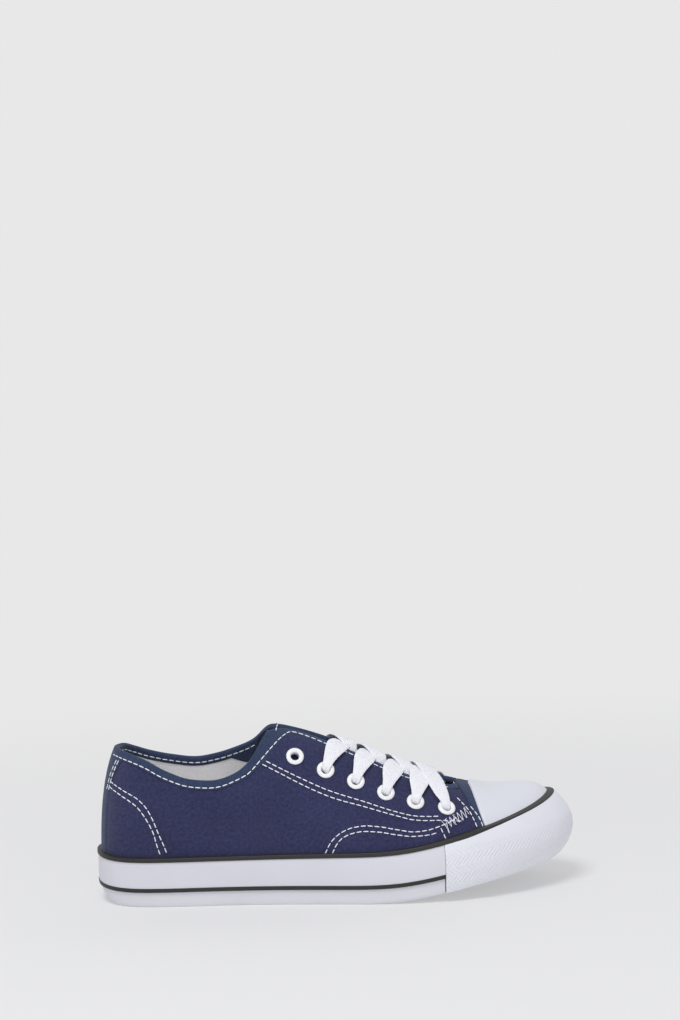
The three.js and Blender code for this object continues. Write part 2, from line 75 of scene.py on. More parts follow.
# %% Sections of the last and the sole, heel to toe, in millimetres
SOLE_LENGTH = 270.0
COLUMNS = ("half", "bend", "lift", "height", "top_in", "bot_in", "ridge_x", "ridge_z", "full", "wall")
SECTIONS = np.array([
    (0.0, 0.0, 1.8, 28.0, 0.4, 3.4, 38, 104, 2.6, 2.8),
    (18.6, 0.0, 0.7, 28.0, 0.4, 3.0, 40, 104, 2.6, 2.8),
    (29.6, 0.0, 0.0, 28.0, 0.4, 2.0, 46, 104, 2.8, 2.8),
    (32.6, 0.0, 0.0, 28.0, 0.4, 1.6, 58, 103, 3.1, 2.8),
    (32.4, -0.8, 0.0, 28.0, 0.6, 1.6, 76, 102, 2.9, 2.8),
    (33.0, -2.6, 0.0, 28.3, 0.9, 1.6, 102, 96.8, 2.4, 2.8),
    (38.0, -3.6, 0.0, 28.8, 1.4, 1.6, 135, 87.4, 1.95, 2.8),
    (46.0, -2.0, 0.0, 29.2, 2.0, 1.6, 168, 73, 1.8, 2.8),
    (48.6, 2.0, 6.9, 29.6, 2.8, 1.8, 197, 60.6, 1.85, 3.0),
    (43.0, 5.6, 11.4, 30.8, 4.2, 2.8, 219, 53.5, 2.05, 4.2),
    (31.4, 8.0, 14.6, 32.6, 7.0, 4.6, 232, 54.2, 2.25, 6.0),
    (16.8, 9.2, 16.2, 34.0, 10.0, 6.4, 238.5, 54.4, 2.3, 8.0),
    (0.0, 9.6, 16.6, 34.4, 11.2, 7.2, 241, 54.4, 2.3, 8.6),
])


def column(name, t):
    """Value of one column at t, 0 at the heel and 1 at the toe: the cubic B-spline whose
    control values are the rows. Past an end the rows are mirrored, half widths negated."""
    rows = SECTIONS[:, COLUMNS.index(name)]
    sign = -1.0 if name == "half" else 1.0
    t = np.asarray(t, float)
    turned = np.where((t < 0) | (t > 1), sign, 1.0)
    inside = 1 - np.abs(1 - np.abs(t))
    padded = np.concatenate([[sign * rows[1]], rows, [sign * rows[-2]]])
    place = inside * (len(rows) - 1)
    k = np.minimum(np.floor(place).astype(int), len(rows) - 2)
    u = place - k
    weights = ((1 - u) ** 3, 3 * u**3 - 6 * u**2 + 4, -3 * u**3 + 3 * u**2 + 3 * u + 1, u**3)
    return turned * sum(w * padded[k + i] for i, w in enumerate(weights)) / 6


def station_x(t):
    """Distance from the heel: half the length times one minus the cosine of pi t."""
    return SOLE_LENGTH * (1 - np.cos(np.pi * np.asarray(t, float))) / 2


def station_t(x):
    """The other way round, from millimetres to t."""
    return np.arccos(1 - 2 * np.asarray(x, float) / SOLE_LENGTH) / np.pi


print("ball width", round(2 * float(column("half", station_t(188.0))), 1), "mm")

# %% [markdown]
# ## Outline, sole side and last
# The outline in plan is the middle line plus or minus the half width. Moving it inward
# along its own normal gives every other outline of the shoe: the foot of the upper, the
# edge of the insole, the inside of the rubber. The last rises from the feather line,
# where upper and sole meet, to a top line, each section a superellipse.

# %% Outline and sole
FEATHER_HEIGHT = 13.0
WIDEST_SHARE = 0.45
RIDGE_BEND = 0.9


def outline(t, side, inset):
    """Plan outline: middle line plus side times half width, moved inward by inset along
    the normal of the curve. side is -1 on the outer side of the foot, +1 on the inner."""
    t, side, inset = np.broadcast_arrays(*(np.asarray(a, float) for a in (t, side, inset)))

    def plan(at):
        return np.stack([station_x(at), column("bend", at) + side * column("half", at)], -1)

    step = 1e-4
    run = plan(t + step) - plan(t - step)
    run /= np.linalg.norm(run, axis=-1, keepdims=True)
    inward = np.stack([run[..., 1], -run[..., 0]], -1) * side[..., None]
    return plan(t) + inward * inset[..., None]


def feather(t):
    """Height of the feather line above the ground."""
    return column("lift", t) + FEATHER_HEIGHT


def sole_top(t):
    """Height of the top edge of the rubber above the ground."""
    return column("lift", t) + column("height", t)


def lean(t, z):
    """How far the sole's side leans in at height z: squares of the share of the way from
    its widest line down to the bottom and up to the top."""
    share = (z - column("lift", t)) / column("height", t)
    low = np.maximum(0, 1 - share / WIDEST_SHARE)
    high = np.maximum(0, (share - WIDEST_SHARE) / (1 - WIDEST_SHARE))
    return column("bot_in", t) * low**2 + column("top_in", t) * high**2


def on_outline(t, side, inset, z):
    """The point of the outline, moved in, at height z."""
    t, side, inset, z = np.broadcast_arrays(*(np.asarray(a, float) for a in (t, side, inset, z)))
    return np.concatenate([outline(t, side, inset), z[..., None]], -1)


print("the rubber stands", round(float(sole_top(0.5)), 1), "mm high at mid length")

# %% [markdown]
# A real last is carved from wood or turned in plastic. It could be sculpted here too,
# but every piece needs its surface again, a little further in or out, so it is written
# as a formula that can be asked for any point and for the direction that faces out.

# %% The last
def last(t, side, v):
    """Point of the last: from the foot of the upper (v 0) to the top line (v 1) on a
    superellipse, across = 1 - cos^(2/n), up = sin^(2/n), with n the column 'full'."""
    t, side, v = np.broadcast_arrays(*(np.asarray(a, float) for a in (t, side, v)))
    base = outline(t, side, column("wall", t))
    power = 2 / column("full", t)
    across = 1 - np.maximum(np.cos(v * np.pi / 2), 0) ** power
    up = np.maximum(np.sin(v * np.pi / 2), 0) ** power
    ridge = np.stack([column("ridge_x", t), RIDGE_BEND * column("bend", t)], -1)
    plan = base + (ridge - base) * across[..., None]
    z = feather(t) + (column("ridge_z", t) - feather(t)) * up
    return np.concatenate([plan, z[..., None]], -1)


def unit(vectors):
    """Vectors divided by their length."""
    length = np.linalg.norm(vectors, axis=-1, keepdims=True)
    return vectors / np.maximum(length, 1e-12)


def last_normal(t, side, v):
    """Outward normal of the last: cross product of its two derivatives, and on the top
    line the normal of that line, so that both sides agree there."""
    t, side, v = np.broadcast_arrays(*(np.asarray(a, float) for a in (t, side, v)))
    step = 1e-4
    along = last(t + step, side, v) - last(t - step, side, v)
    up = last(t, side, np.minimum(v + step, 1)) - last(t, side, np.maximum(v - step, 0))
    normal = np.cross(along, up) * -side[..., None]
    middle = np.clip(t, 0.02, 0.98)
    run = last(middle + step, side, 1) - last(middle - step, side, 1)
    top = np.stack([-run[..., 2], 0 * t, run[..., 0]], -1)
    return unit(np.where((v > 1 - 1e-6)[..., None], top, normal))


def v_at_height(t, z):
    """The v at which the last reaches height z."""
    share = np.clip((z - feather(t)) / (column("ridge_z", t) - feather(t)), 0, 1)
    return np.arcsin(share ** (column("full", t) / 2)) * 2 / np.pi


def v_at_across(t, across):
    """The v at which the last is this far out from its top line."""
    share = np.clip(across / np.maximum(column("half", t) - column("wall", t), 1e-6), 0, 1)
    return np.arccos(share ** (column("full", t) / 2)) * 2 / np.pi


print("instep height", round(float(last(station_t(110.0), -1, 1)[2]), 1), "mm")

# %% [markdown]
# ## Collar and throat
# The upper is cut open at the top for the foot and down the instep for the laces. Two
# short tables give the collar's height and the throat's width. Monotone cubics are used
# here because an edge must not bulge past the numbers that it was measured by.

# %% Edge tables
COLLAR_X = (0, 4, 14, 26, 40, 55, 66, 78, 88, 93.6, 99.6)
COLLAR_OUTER = (87.2, 86.8, 85.2, 82.0, 75.8, 71.0, 70.2, 73.5, 82.0, 93.0, 106.0)
COLLAR_INNER = (87.2, 86.8, 83.8, 80.0, 76.8, 74.9, 76.6, 80.4, 85.2, 92.0, 103.0)
THROAT_X = (92, 98, 104, 109, 114, 122, 132, 150, 165, 182, 196, 205, 210, 212.5)
THROAT_HALF = (11.0, 8.6, 5.0, 3.7, 3.4, 4.2, 6.0, 8.4, 10.8, 12.8, 13.2, 10.8, 6.2, 0.0)
THROAT_END = THROAT_X[-1]
# Behind THROAT_BEGIN only the collar counts, because the heel is narrower than the throat.
THROAT_BEGIN = 70.0
EDGE_BLEND = 0.06


def monotone(x, xs, ys):
    """Cubic Hermite curve through (xs, ys) whose slope at a row is the harmonic mean of
    the slopes either side, or nothing where they differ in sign."""
    xs, ys = np.array(xs, float), np.array(ys, float)
    x = np.clip(x, xs[0], xs[-1])
    gaps = np.diff(xs)
    slopes = np.diff(ys) / gaps
    before, after = slopes[:-1], slopes[1:]
    same = before * after > 0
    mean = 2 * before * after / np.where(same, before + after, 1)
    tangent = np.concatenate([slopes[:1], np.where(same, mean, 0), slopes[-1:]])
    i = np.clip(np.searchsorted(xs, x) - 1, 0, len(gaps) - 1)
    u = (x - xs[i]) / gaps[i]
    return ((2 * u**3 - 3 * u**2 + 1) * ys[i] + (u**3 - 2 * u**2 + u) * gaps[i] * tangent[i]
            + (3 * u**2 - 2 * u**3) * ys[i + 1] + (u**3 - u**2) * gaps[i] * tangent[i + 1])


def top_edge(t, side):
    """The v where the upper ends: the lower of collar and throat, rounded where they
    meet; in front of the throat it is the top line itself."""
    x = station_x(t)
    across = v_at_across(t, monotone(x, THROAT_X, THROAT_HALF))
    throat = np.where(x > THROAT_END - 1e-6, 1.0, across)
    height = np.where(np.asarray(side) < 0, monotone(x, COLLAR_X, COLLAR_OUTER),
                      monotone(x, COLLAR_X, COLLAR_INNER))
    collar = v_at_height(t, height)
    corner = np.maximum(EDGE_BLEND - np.abs(collar - throat), 0) / EDGE_BLEND
    both = np.minimum(collar, throat) - corner**2 * EDGE_BLEND / 4
    behind = np.where(x < THROAT_BEGIN, collar, both)
    return np.where(x > COLLAR_X[-1], throat, behind)


print("the collar dips to", min(COLLAR_OUTER), "mm on the outer side")

# %% [markdown]
# A binding, a hem or a row of stitches keeps the same distance from an edge all the way.
# On a curved surface that line has no formula, so it is found: going down from the edge,
# the first point whose nearest edge point is that far away.

# %% Lines at a fixed distance below the top edge
BAND_T = np.linspace(0, station_t(211.0), 280)


def below_edge(side, distance, reach=5):
    """For each place in BAND_T the v of the point whose distance from the top edge is
    the one asked for; averaged along the shoe so that it turns the corner softly."""
    edge_t = np.linspace(0, station_t(212.0), 700)
    edge = last(edge_t, side, top_edge(edge_t, side))
    t = BAND_T[:, None]
    v = top_edge(t, side) - np.linspace(0, 0.3, 40)[None, :]
    points = last(t, side, np.maximum(v, 0))
    away = np.array([
        np.sqrt(((row[:, None] - edge[None]) ** 2).sum(-1)).min(1) for row in points])
    first = np.maximum((away >= distance).argmax(1), 1)
    rows = np.arange(len(BAND_T))
    low, high = away[rows, first - 1], away[rows, first]
    share = np.clip((distance - low) / np.maximum(high - low, 1e-9), 0, 1)
    found = v[rows, first - 1] + (v[rows, first] - v[rows, first - 1]) * share
    window = np.hanning(2 * reach + 3)[1:-1]
    padded = np.concatenate([found[reach:0:-1], found, np.repeat(found[-1], reach)])
    return np.convolve(padded, window / window.sum(), "valid")


# Where the collar turns into the throat the tape is cut wider and its row of stitches
# rounds the corner; these are places of that row, which elsewhere is TAPE_ROW from the edge.
TAPE_ROW = 4.2
CORNER_X = (73, 85, 94, 99, 106, 110, 116, 125, 132)
CORNER_Z = (66.8, 72.0, 80.5, 85.6, 91.1, 92.3, 91.7, 88.2, 84.4)


def line_below(side, distance):
    """The same as a function of t. A line as deep as the row of stitches follows the
    rounded corner, faded in and out over 10 mm."""
    found = below_edge(side, distance)
    if distance > 4:
        x = station_x(BAND_T)
        corner = v_at_height(BAND_T, monotone(x, CORNER_X, CORNER_Z))
        corner += found - below_edge(side, TAPE_ROW)
        fade = np.clip(np.minimum((x - 76) / 10, (132 - x) / 10), 0, 1)
        found = found + (np.minimum(corner, found) - found) * fade
    return lambda t: np.interp(t, BAND_T, found)


print(len(BAND_T), "places along the edge")

# %% [markdown]
# ## Creases
# Worn or only handled, cloth is never as smooth as the last. A few soft troughs and
# ridges are placed where such a shoe has them: across the ball, where it bends,
# under the instep, and down from the collar.

# %% Creases in the cloth
CREASES = np.array([
    # side, x from, z from, x to, z to, width, rise
    (-1, 182, 44, 190, 30, 5.0, -0.45),
    (-1, 190, 46, 200, 34, 4.5, 0.40),
    (-1, 168, 47, 172, 31, 7.0, 0.30),
    (-1, 120, 58, 150, 44, 9.0, -0.50),
    (-1, 62, 62, 78, 34, 10.0, -0.55),
    (-1, 88, 66, 104, 36, 8.0, 0.45),
    (-1, 36, 62, 46, 34, 8.0, 0.40),
    (-1, 14, 74, 26, 58, 7.0, -0.35),
    (1, 182, 42, 192, 31, 5.0, -0.45),
    (1, 192, 45, 200, 34, 4.5, 0.40),
    (1, 116, 60, 140, 38, 10.0, -0.50),
    (1, 60, 66, 74, 36, 10.0, -0.60),
    (1, 88, 66, 98, 40, 8.0, 0.45),
    (1, 30, 70, 40, 38, 9.0, 0.45),
])


def drape(t, side, v):
    """Offset of the cloth from the last: for each crease its rise times a bell curve of
    the distance from its line, faded out at both ends, and nothing at the top line."""
    x = station_x(t)
    z = last(t, side, v)[..., 2]
    side = np.broadcast_to(side, x.shape)
    total = np.zeros(np.shape(z))
    for which, x0, z0, x1, z1, width, rise in CREASES:
        run = np.array([x1 - x0, z1 - z0])
        length = np.hypot(*run)
        run = run / length
        along = ((x - x0) * run[0] + (z - z0) * run[1]) / length
        apart = (x - x0) * run[1] - (z - z0) * run[0]
        ends = np.exp(-((along - 0.5) / 0.45) ** 4)
        total += np.where(side == which, rise * np.exp(-(apart / width) ** 2) * ends, 0)
    above_sole = np.clip((z - sole_top(t)) / 6, 0, 1)
    return total * np.clip((1 - v) * 6, 0, 1) * above_sole


def skin(t, side, v, offset):
    """Point of the cloth: the last, plus its normal times the drape and the offset."""
    t, side, v, offset = np.broadcast_arrays(
        *(np.asarray(a, float) for a in (t, side, v, offset)))
    normal = last_normal(t, side, v)
    return last(t, side, v) + normal * (offset + drape(t, side, v))[..., None]


print(len(CREASES), "creases placed by hand")

# %% [markdown]
# ## From grids to meshes
# Every piece is a grid of points. The grid is turned into faces with whole-array index
# arithmetic, points that fall together are welded, and a face that appears twice, which
# is a wall between two halves of one piece, is dropped.

# %% Place of the last in the frame
heel_low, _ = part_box("foxing")
samples = np.linspace(0, 1, 2001)
plan_y = np.concatenate([outline(samples, side, 0)[:, 1] for side in (-1, 1)])
ORIGIN = np.array([-1000 * heel_low.x, (plan_y.max() + plan_y.min()) / 2, 0.0])
print("the middle of the frame on the last", ORIGIN.round(2), "mm")

WELD = 2e-3


def sweep(rings, closed):
    """Quads between neighbouring rings of points. Where the row of rings is open, each
    end is closed by a ladder from one half of its ring to the other."""
    count, size = rings.shape[:2]
    index = np.arange(count * size).reshape(count, size)
    here = index if closed else index[:-1]
    there = np.roll(index, -1, 0) if closed else index[1:]
    quads = [np.stack([here, there, np.roll(there, -1, 1), np.roll(here, -1, 1)], -1).reshape(-1, 4)]
    if not closed:
        half = size // 2
        for row, turn in ((index[0], 1), (index[-1], -1)):
            one, other = row[:half], row[::-1][:half]
            ladder = np.stack([one[:-1], one[1:], other[1:], other[:-1]], -1)
            quads.append(ladder[:, ::turn])
    return rings.reshape(-1, 3), np.concatenate(quads)


def ring_uv(rings):
    """Texture place in millimetres: distance along the row of rings, distance round."""
    along = np.linalg.norm(np.diff(rings, axis=0), axis=-1).mean(1)
    along = np.concatenate([[0], np.cumsum(along)])
    round_ = np.linalg.norm(np.diff(rings, axis=1), axis=-1)
    round_ = np.concatenate([np.zeros((len(rings), 1)), np.cumsum(round_, 1)], 1)
    return np.stack(np.broadcast_arrays(along[:, None], round_), -1).reshape(-1, 2)


def join(parts):
    """Several (points, quads, uv) as one."""
    starts = np.cumsum([0] + [len(points) for points, _, _ in parts[:-1]])
    return (np.concatenate([points for points, _, _ in parts]),
            np.concatenate([quads + start for (_, quads, _), start in zip(parts, starts)]),
            np.concatenate([uv for _, _, uv in parts]))


def outward(points, quads):
    """The quads turned outward: reversed where the signed volume under them is negative."""
    a, b, c, d = (points[quads[:, i]] for i in range(4))
    volume = (a * np.cross(b, c)).sum() + (a * np.cross(c, d)).sum()
    return quads[:, ::-1] if volume < 0 else quads


def from_rings(rings, closed=False):
    """(points, quads, uv) of one swept body."""
    points, quads = sweep(rings, closed)
    return points, outward(points, quads), ring_uv(rings)


def panel(outer, inner, keep=None):
    """(points, quads, uv) of a sheet with thickness: two grids of the same shape and a
    wall along every border. keep says which cells are there, so that it can have holes."""
    rows, columns = outer.shape[:2]
    size = rows * columns
    index = np.arange(size).reshape(rows, columns)
    corners = np.stack([index[:-1, :-1], index[1:, :-1], index[1:, 1:], index[:-1, 1:]], -1)
    cells = np.ones(corners.shape[:2], bool) if keep is None else keep
    framed = np.pad(cells, 1)
    beyond = (framed[1:-1, :-2], framed[2:, 1:-1], framed[1:-1, 2:], framed[:-2, 1:-1])
    quads = [corners[cells], corners[cells][:, ::-1] + size]
    for k, neighbour in enumerate(beyond):
        rim = corners[cells & ~neighbour]
        a, b = rim[:, k], rim[:, (k + 1) % 4]
        quads.append(np.stack([b, a, a + size, b + size], -1))
    points = np.concatenate([outer.reshape(-1, 3), inner.reshape(-1, 3)])
    return points, outward(points, np.concatenate(quads)), np.tile(ring_uv(outer), (2, 1))


def piece(name, parts, finish, replaces=(), sharp=40):
    """A Blender object from (points, quads, uv) in millimetres of the last."""
    points, quads, uv = join(parts) if isinstance(parts, list) else parts
    cells = np.round(points / WELD).astype(np.int64)
    _, first, same = np.unique(cells, axis=0, return_index=True, return_inverse=True)
    same = same.reshape(-1)
    corners = same[quads]
    _, which, times = np.unique(np.sort(corners, 1), axis=0, return_inverse=True, return_counts=True)
    once = times[which.reshape(-1)] == 1
    corners, quads = corners[once], quads[once]
    fresh = corners != np.roll(corners, 1, 1)
    whole = fresh.sum(1) >= 3
    corners, quads, fresh = corners[whole], quads[whole], fresh[whole]
    sizes = fresh.sum(1)
    mesh = bpy.data.meshes.new(name)
    mesh.vertices.add(len(first))
    mesh.vertices.foreach_set("co", ((points[first] - ORIGIN) / 1000).astype(np.float32).ravel())
    mesh.loops.add(int(sizes.sum()))
    mesh.loops.foreach_set("vertex_index", corners[fresh].astype(np.int32))
    mesh.polygons.add(len(sizes))
    mesh.polygons.foreach_set("loop_start", np.concatenate([[0], np.cumsum(sizes)[:-1]]).astype(np.int32))
    layer = mesh.uv_layers.new(name="UVMap")
    layer.data.foreach_set("uv", uv[quads[fresh]].astype(np.float32).ravel())
    mesh.polygons.foreach_set("use_smooth", np.ones(len(sizes), bool))
    mesh.update(calc_edges=True)
    mesh.validate()
    mesh.set_sharp_from_angle(angle=math.radians(sharp))
    mesh.materials.append(finish)
    made = bpy.data.objects.new(name, mesh)
    bpy.context.scene.collection.objects.link(made)
    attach(made, "root")
    if replaces:
        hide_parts(*replaces)
    print(name, len(first), "points,", int((sizes - 2).sum()), "triangles")
    return made


# %% [markdown]
# ## Finishes
# Each finish starts from the real stuff. One helper adds a node with its settings and
# its links; patterns are built from the piece's own texture map, which is in
# millimetres, so that thread counts can be written as real sizes.

# %% Helpers for finishes
def linear(code):
    """sRGB hex to linear red, green, blue and alpha."""
    values = np.array([int(code[i:i + 2], 16) / 255 for i in (1, 3, 5)])
    values = np.where(values <= 0.04045, values / 12.92, ((values + 0.055) / 1.055) ** 2.4)
    return (*values, 1.0)


def add(tree, kind, settings=None, **inputs):
    """A node of this kind with its settings, and with each input given a value or the
    socket that feeds it. i0, i1 are inputs by number, and other names are sockets'."""
    made = tree.nodes.new(kind)
    for key, value in (settings or {}).items():
        setattr(made, key, value)
    for key, value in inputs.items():
        numbered = key[0] == "i" and key[1:].isdigit()
        socket = made.inputs[int(key[1:]) if numbered else key.replace("_", " ")]
        if isinstance(value, bpy.types.NodeSocket):
            tree.links.new(value, socket)
        else:
            socket.default_value = value
    return made


def finish(name, **sockets):
    """A material with one Principled shader: its sockets set, its tree returned."""
    made = bpy.data.materials.new(name)
    made.use_nodes = True
    tree = made.node_tree
    tree.nodes.clear()
    shader = add(tree, "ShaderNodeBsdfPrincipled", **sockets)
    add(tree, "ShaderNodeOutputMaterial", Surface=shader.outputs["BSDF"])
    return made, tree, shader


def ripple(tree, value, pitch):
    """Sine of the value with this pitch in millimetres, from -1 to 1."""
    turn = add(tree, "ShaderNodeMath", {"operation": "MULTIPLY"}, i0=value, i1=2 * math.pi / pitch)
    return add(tree, "ShaderNodeMath", {"operation": "SINE"}, i0=turn.outputs[0]).outputs[0]


def cloth(name, code, dark, pitch, depth, roughness=0.92, sheen=0.12, mottle=0.35):
    """Plain weave: the product of two sines of the texture map, one per thread system,
    gives each thread its crown. The crown also lightens the colour, as painted light on top
    and painted shade between threads, and a fine noise shifts the colour from yarn to yarn."""
    made, tree, shader = finish(name, Roughness=roughness, Sheen_Weight=sheen,
                                Sheen_Roughness=0.45, Specular_IOR_Level=0.25)
    place = add(tree, "ShaderNodeUVMap", {"uv_map": "UVMap"})
    split = add(tree, "ShaderNodeSeparateXYZ", i0=place.outputs[0])
    warp, weft = ripple(tree, split.outputs[0], pitch), ripple(tree, split.outputs[1], pitch)
    crown = add(tree, "ShaderNodeMath", {"operation": "MULTIPLY"}, i0=warp, i1=weft)
    slub = add(tree, "ShaderNodeTexNoise", Vector=place.outputs[0], Scale=0.55, Detail=4.0)
    wide = add(tree, "ShaderNodeTexCoord")
    fade = add(tree, "ShaderNodeTexNoise", Vector=wide.outputs["Object"], Scale=38.0, Detail=3.0)
    # The crown term lightens the colour on each thread's top and darkens it between threads: painted
    # light and painted shade, added to the yarn noise.
    crown_shade_and_slub = add(tree, "ShaderNodeMath", {"operation": "MULTIPLY_ADD"},
                i0=crown.outputs[0], i1=0.16, i2=slub.outputs[0])
    both = add(tree, "ShaderNodeMath", {"operation": "MULTIPLY_ADD"},
               i0=fade.outputs[0], i1=mottle, i2=crown_shade_and_slub.outputs[0])
    spread = add(tree, "ShaderNodeMapRange", i0=both.outputs[0],
                 i1=0.35 + mottle * 0.3, i2=0.7 + mottle * 0.7)
    colour = add(tree, "ShaderNodeMix", {"data_type": "RGBA"}, i0=spread.outputs[0],
                 i6=linear(dark), i7=linear(code))
    bump = add(tree, "ShaderNodeBump", Height=crown.outputs[0], Strength=0.7, Distance=depth / 1000)
    tree.links.new(colour.outputs[2], shader.inputs["Base Color"])
    tree.links.new(bump.outputs[0], shader.inputs["Normal"])
    return made


def rubber(name, code, roughness, grain=0.05):
    """Moulded rubber: even colour with a faint bloom, and a very low uneven skin."""
    made, tree, shader = finish(name, Roughness=roughness, IOR=1.52, Specular_IOR_Level=0.4)
    place = add(tree, "ShaderNodeTexCoord")
    bloom = add(tree, "ShaderNodeTexNoise", Vector=place.outputs["Object"], Scale=26.0, Detail=5.0)
    tint = add(tree, "ShaderNodeMapRange", i0=bloom.outputs[0], i1=0.3, i2=0.7, i3=0.955, i4=1.0)
    colour = add(tree, "ShaderNodeMix", {"data_type": "RGBA", "blend_type": "MULTIPLY"},
                 i0=1.0, i6=linear(code), i7=tint.outputs[0])
    pores = add(tree, "ShaderNodeTexNoise", Vector=place.outputs["Object"], Scale=900.0, Detail=2.0)
    bump = add(tree, "ShaderNodeBump", Height=pores.outputs[0], Strength=0.3, Distance=grain / 1000)
    tree.links.new(colour.outputs[2], shader.inputs["Base Color"])
    tree.links.new(bump.outputs[0], shader.inputs["Normal"])
    return made, tree, shader, bump


print("mid grey is", round(float(linear("#808080")[0]), 3), "in linear light")

# %% [markdown]
# Cotton canvas is a plain weave of thick yarn, matt, with painted light that makes it a
# little lighter on its crowns and painted shade that darkens it between threads. Its threads
# are 0.6 mm apart; they are drawn 1.1 mm apart, because finer ones would not show. Vulcanised
# rubber is smooth with a soft shine. Thread and lace are bleached cotton. The eyelets are
# brass pressings with white enamel.

# %% The finishes
# Matt navy, with painted light on each thread's crown and painted shade between threads: the eye finds
# the weave when it comes close.
CANVAS = cloth("navy_cotton_canvas", "#3d4065", "#2b2c4c", 1.1, 0.16)
# Bluer and finer, so that every bound edge reads as a second cloth.
TAPE = cloth("cotton_binding_tape", "#3b4866", "#2f3a54", 0.9, 0.10, mottle=0.25)
# Pale and flat, which makes the dark opening look soft inside.
LINING = cloth("undyed_cotton_lining", "#fafafa", "#f1f0f0", 1.0, 0.10, sheen=0.15)
# Nearly white, with coarse yarn and a soft glow at its edges.
LACE_COTTON = cloth("bleached_cotton_lace", "#f8f8fb", "#eeeef3", 1.3, 0.14, sheen=0.2, mottle=0.1)
# The same glow lifts each stitch off the dark cloth.
THREAD, _, _ = finish("bleached_cotton_thread", Base_Color=linear("#eeeef4"),
                      Roughness=0.8, Sheen_Weight=0.2)
# Smooth and half dull: long soft lights along the band.
FOXING_RUBBER = rubber("vulcanised_foxing_rubber", "#d9d9e0", 0.5)[0]
# A little rougher, so that the tread stays quiet.
SOLE_RUBBER = rubber("moulded_sole_rubber", "#dfdfe5", 0.55)[0]
# The smoothest rubber: one broad light tells how round the toe is.
CAP_RUBBER = rubber("smooth_cap_rubber", "#dfe1e7", 0.42, 0.02)[0]
# Not quite black, so that a thin line still has a light side and a dark side.
BLACK_RUBBER = rubber("black_stripe_rubber", "#2a2927", 0.5)[0]
# A clear coat over white gives each eyelet its small hard glint.
ENAMEL, _, _ = finish("white_enamelled_brass", Base_Color=linear("#f2f2f3"),
                      Roughness=0.28, Coat_Weight=0.4)

# %% [markdown]
# The bumper has slanted ribs pressed into it, in rows that turn back on themselves. They
# are too fine to model, so a zigzag is added to the texture map and a sine of the sum
# lifts the surface. It stops where the band turns over to its back.

# %% Ribbed rubber of the bumper
RIB_ROW, RIB_SPACING, RIB_HEIGHT, RIBS_END = 5.0, 2.6, 0.2, 24.0
BUMPER_RUBBER, bumper_tree, bumper_shader, grain = rubber("ribbed_bumper_rubber", "#e8e9ef", 0.5)
place = add(bumper_tree, "ShaderNodeUVMap", {"uv_map": "UVMap"})
split = add(bumper_tree, "ShaderNodeSeparateXYZ", i0=place.outputs[0])
zigzag = add(bumper_tree, "ShaderNodeMath", {"operation": "PINGPONG"}, i0=split.outputs[1], i1=RIB_ROW)
slanted = add(bumper_tree, "ShaderNodeMath", {"operation": "ADD"},
              i0=split.outputs[0], i1=zigzag.outputs[0])
window = add(bumper_tree, "ShaderNodeMapRange", i0=split.outputs[1],
             i1=RIBS_END, i2=RIBS_END + 1.0, i3=1.0, i4=0.0)
ribs = add(bumper_tree, "ShaderNodeMath", {"operation": "MULTIPLY"},
           i0=ripple(bumper_tree, slanted.outputs[0], RIB_SPACING), i1=window.outputs[0])
ribbed = add(bumper_tree, "ShaderNodeBump", Height=ribs.outputs[0], Normal=grain.outputs[0],
             Strength=0.5, Distance=RIB_HEIGHT / 1000)
bumper_tree.links.new(ribbed.outputs[0], bumper_shader.inputs["Normal"])
print(len(bpy.data.materials), "materials")

# %% [markdown]
# ## Rubber
# The outsole is one moulding with a low edge. The foxing is a strip of rubber wrapped
# round it and up the cloth, with a thin black line at its foot and a wider one along its
# top. A thicker bumper with a pressed pattern takes over round the toe.

# %% Outsole
BUMPER_START = 195.0
OUTSOLE_BAND = 8.7
OUTSOLE_INSET = 0.8
BUMPER_SEAT = 3.0
GAP = 0.3
GROOVE_WIDTH, GROOVE_DEPTH, GROOVE_RIM = 2.4, 1.5, 9.0
GROOVE_X = np.concatenate([np.arange(20, 69, 8), np.arange(113, 240, 9)])
RIB_PITCH, RIB_DEPTH = 6.0, 0.45
PLAIN_HEEL, PLAIN_WAIST = 16.0, (72.0, 109.0)


def stations(count, step, low=0.0, high=SOLE_LENGTH):
    """Values of t that are even in t and, between them, even in millimetres as well."""
    even = np.linspace(station_t(low), station_t(high), count + 1)
    laid = station_t(np.arange(low + step, high - step / 2, step))
    keep = np.abs(laid[:, None] - even[None]).min(1) > 0.2 / count
    return np.sort(np.concatenate([even, laid[keep]]))


def bumper_seat(t, z):
    """Inner face of the bumper below the upper, measured in from the widest line."""
    share = np.minimum((z - column("lift", t)) / OUTSOLE_BAND, 1)
    low = column("bot_in", t) + BUMPER_SEAT
    return low + (column("wall", t) - GAP - low) * share


def tread(points, half):
    """Depth of the tread: straight grooves across, and finer ribs lengthwise between."""
    x, y = points[..., 0], points[..., 1]
    near = np.abs(x[..., None] - GROOVE_X).min(-1)
    inside = np.clip((half - GROOVE_RIM - np.abs(y)) / 0.4, 0, 1)
    groove = np.clip((GROOVE_WIDTH / 2 - near) / 0.3 + 0.5, 0, 1) * GROOVE_DEPTH
    patterned = ((x > PLAIN_HEEL) & (x < PLAIN_WAIST[0])) | (x > PLAIN_WAIST[1])
    ribs = np.clip(np.cos(2 * np.pi * y / RIB_PITCH) * 3 - 1.6, 0, 1) * RIB_DEPTH * patterned
    return np.maximum(groove, ribs) * inside


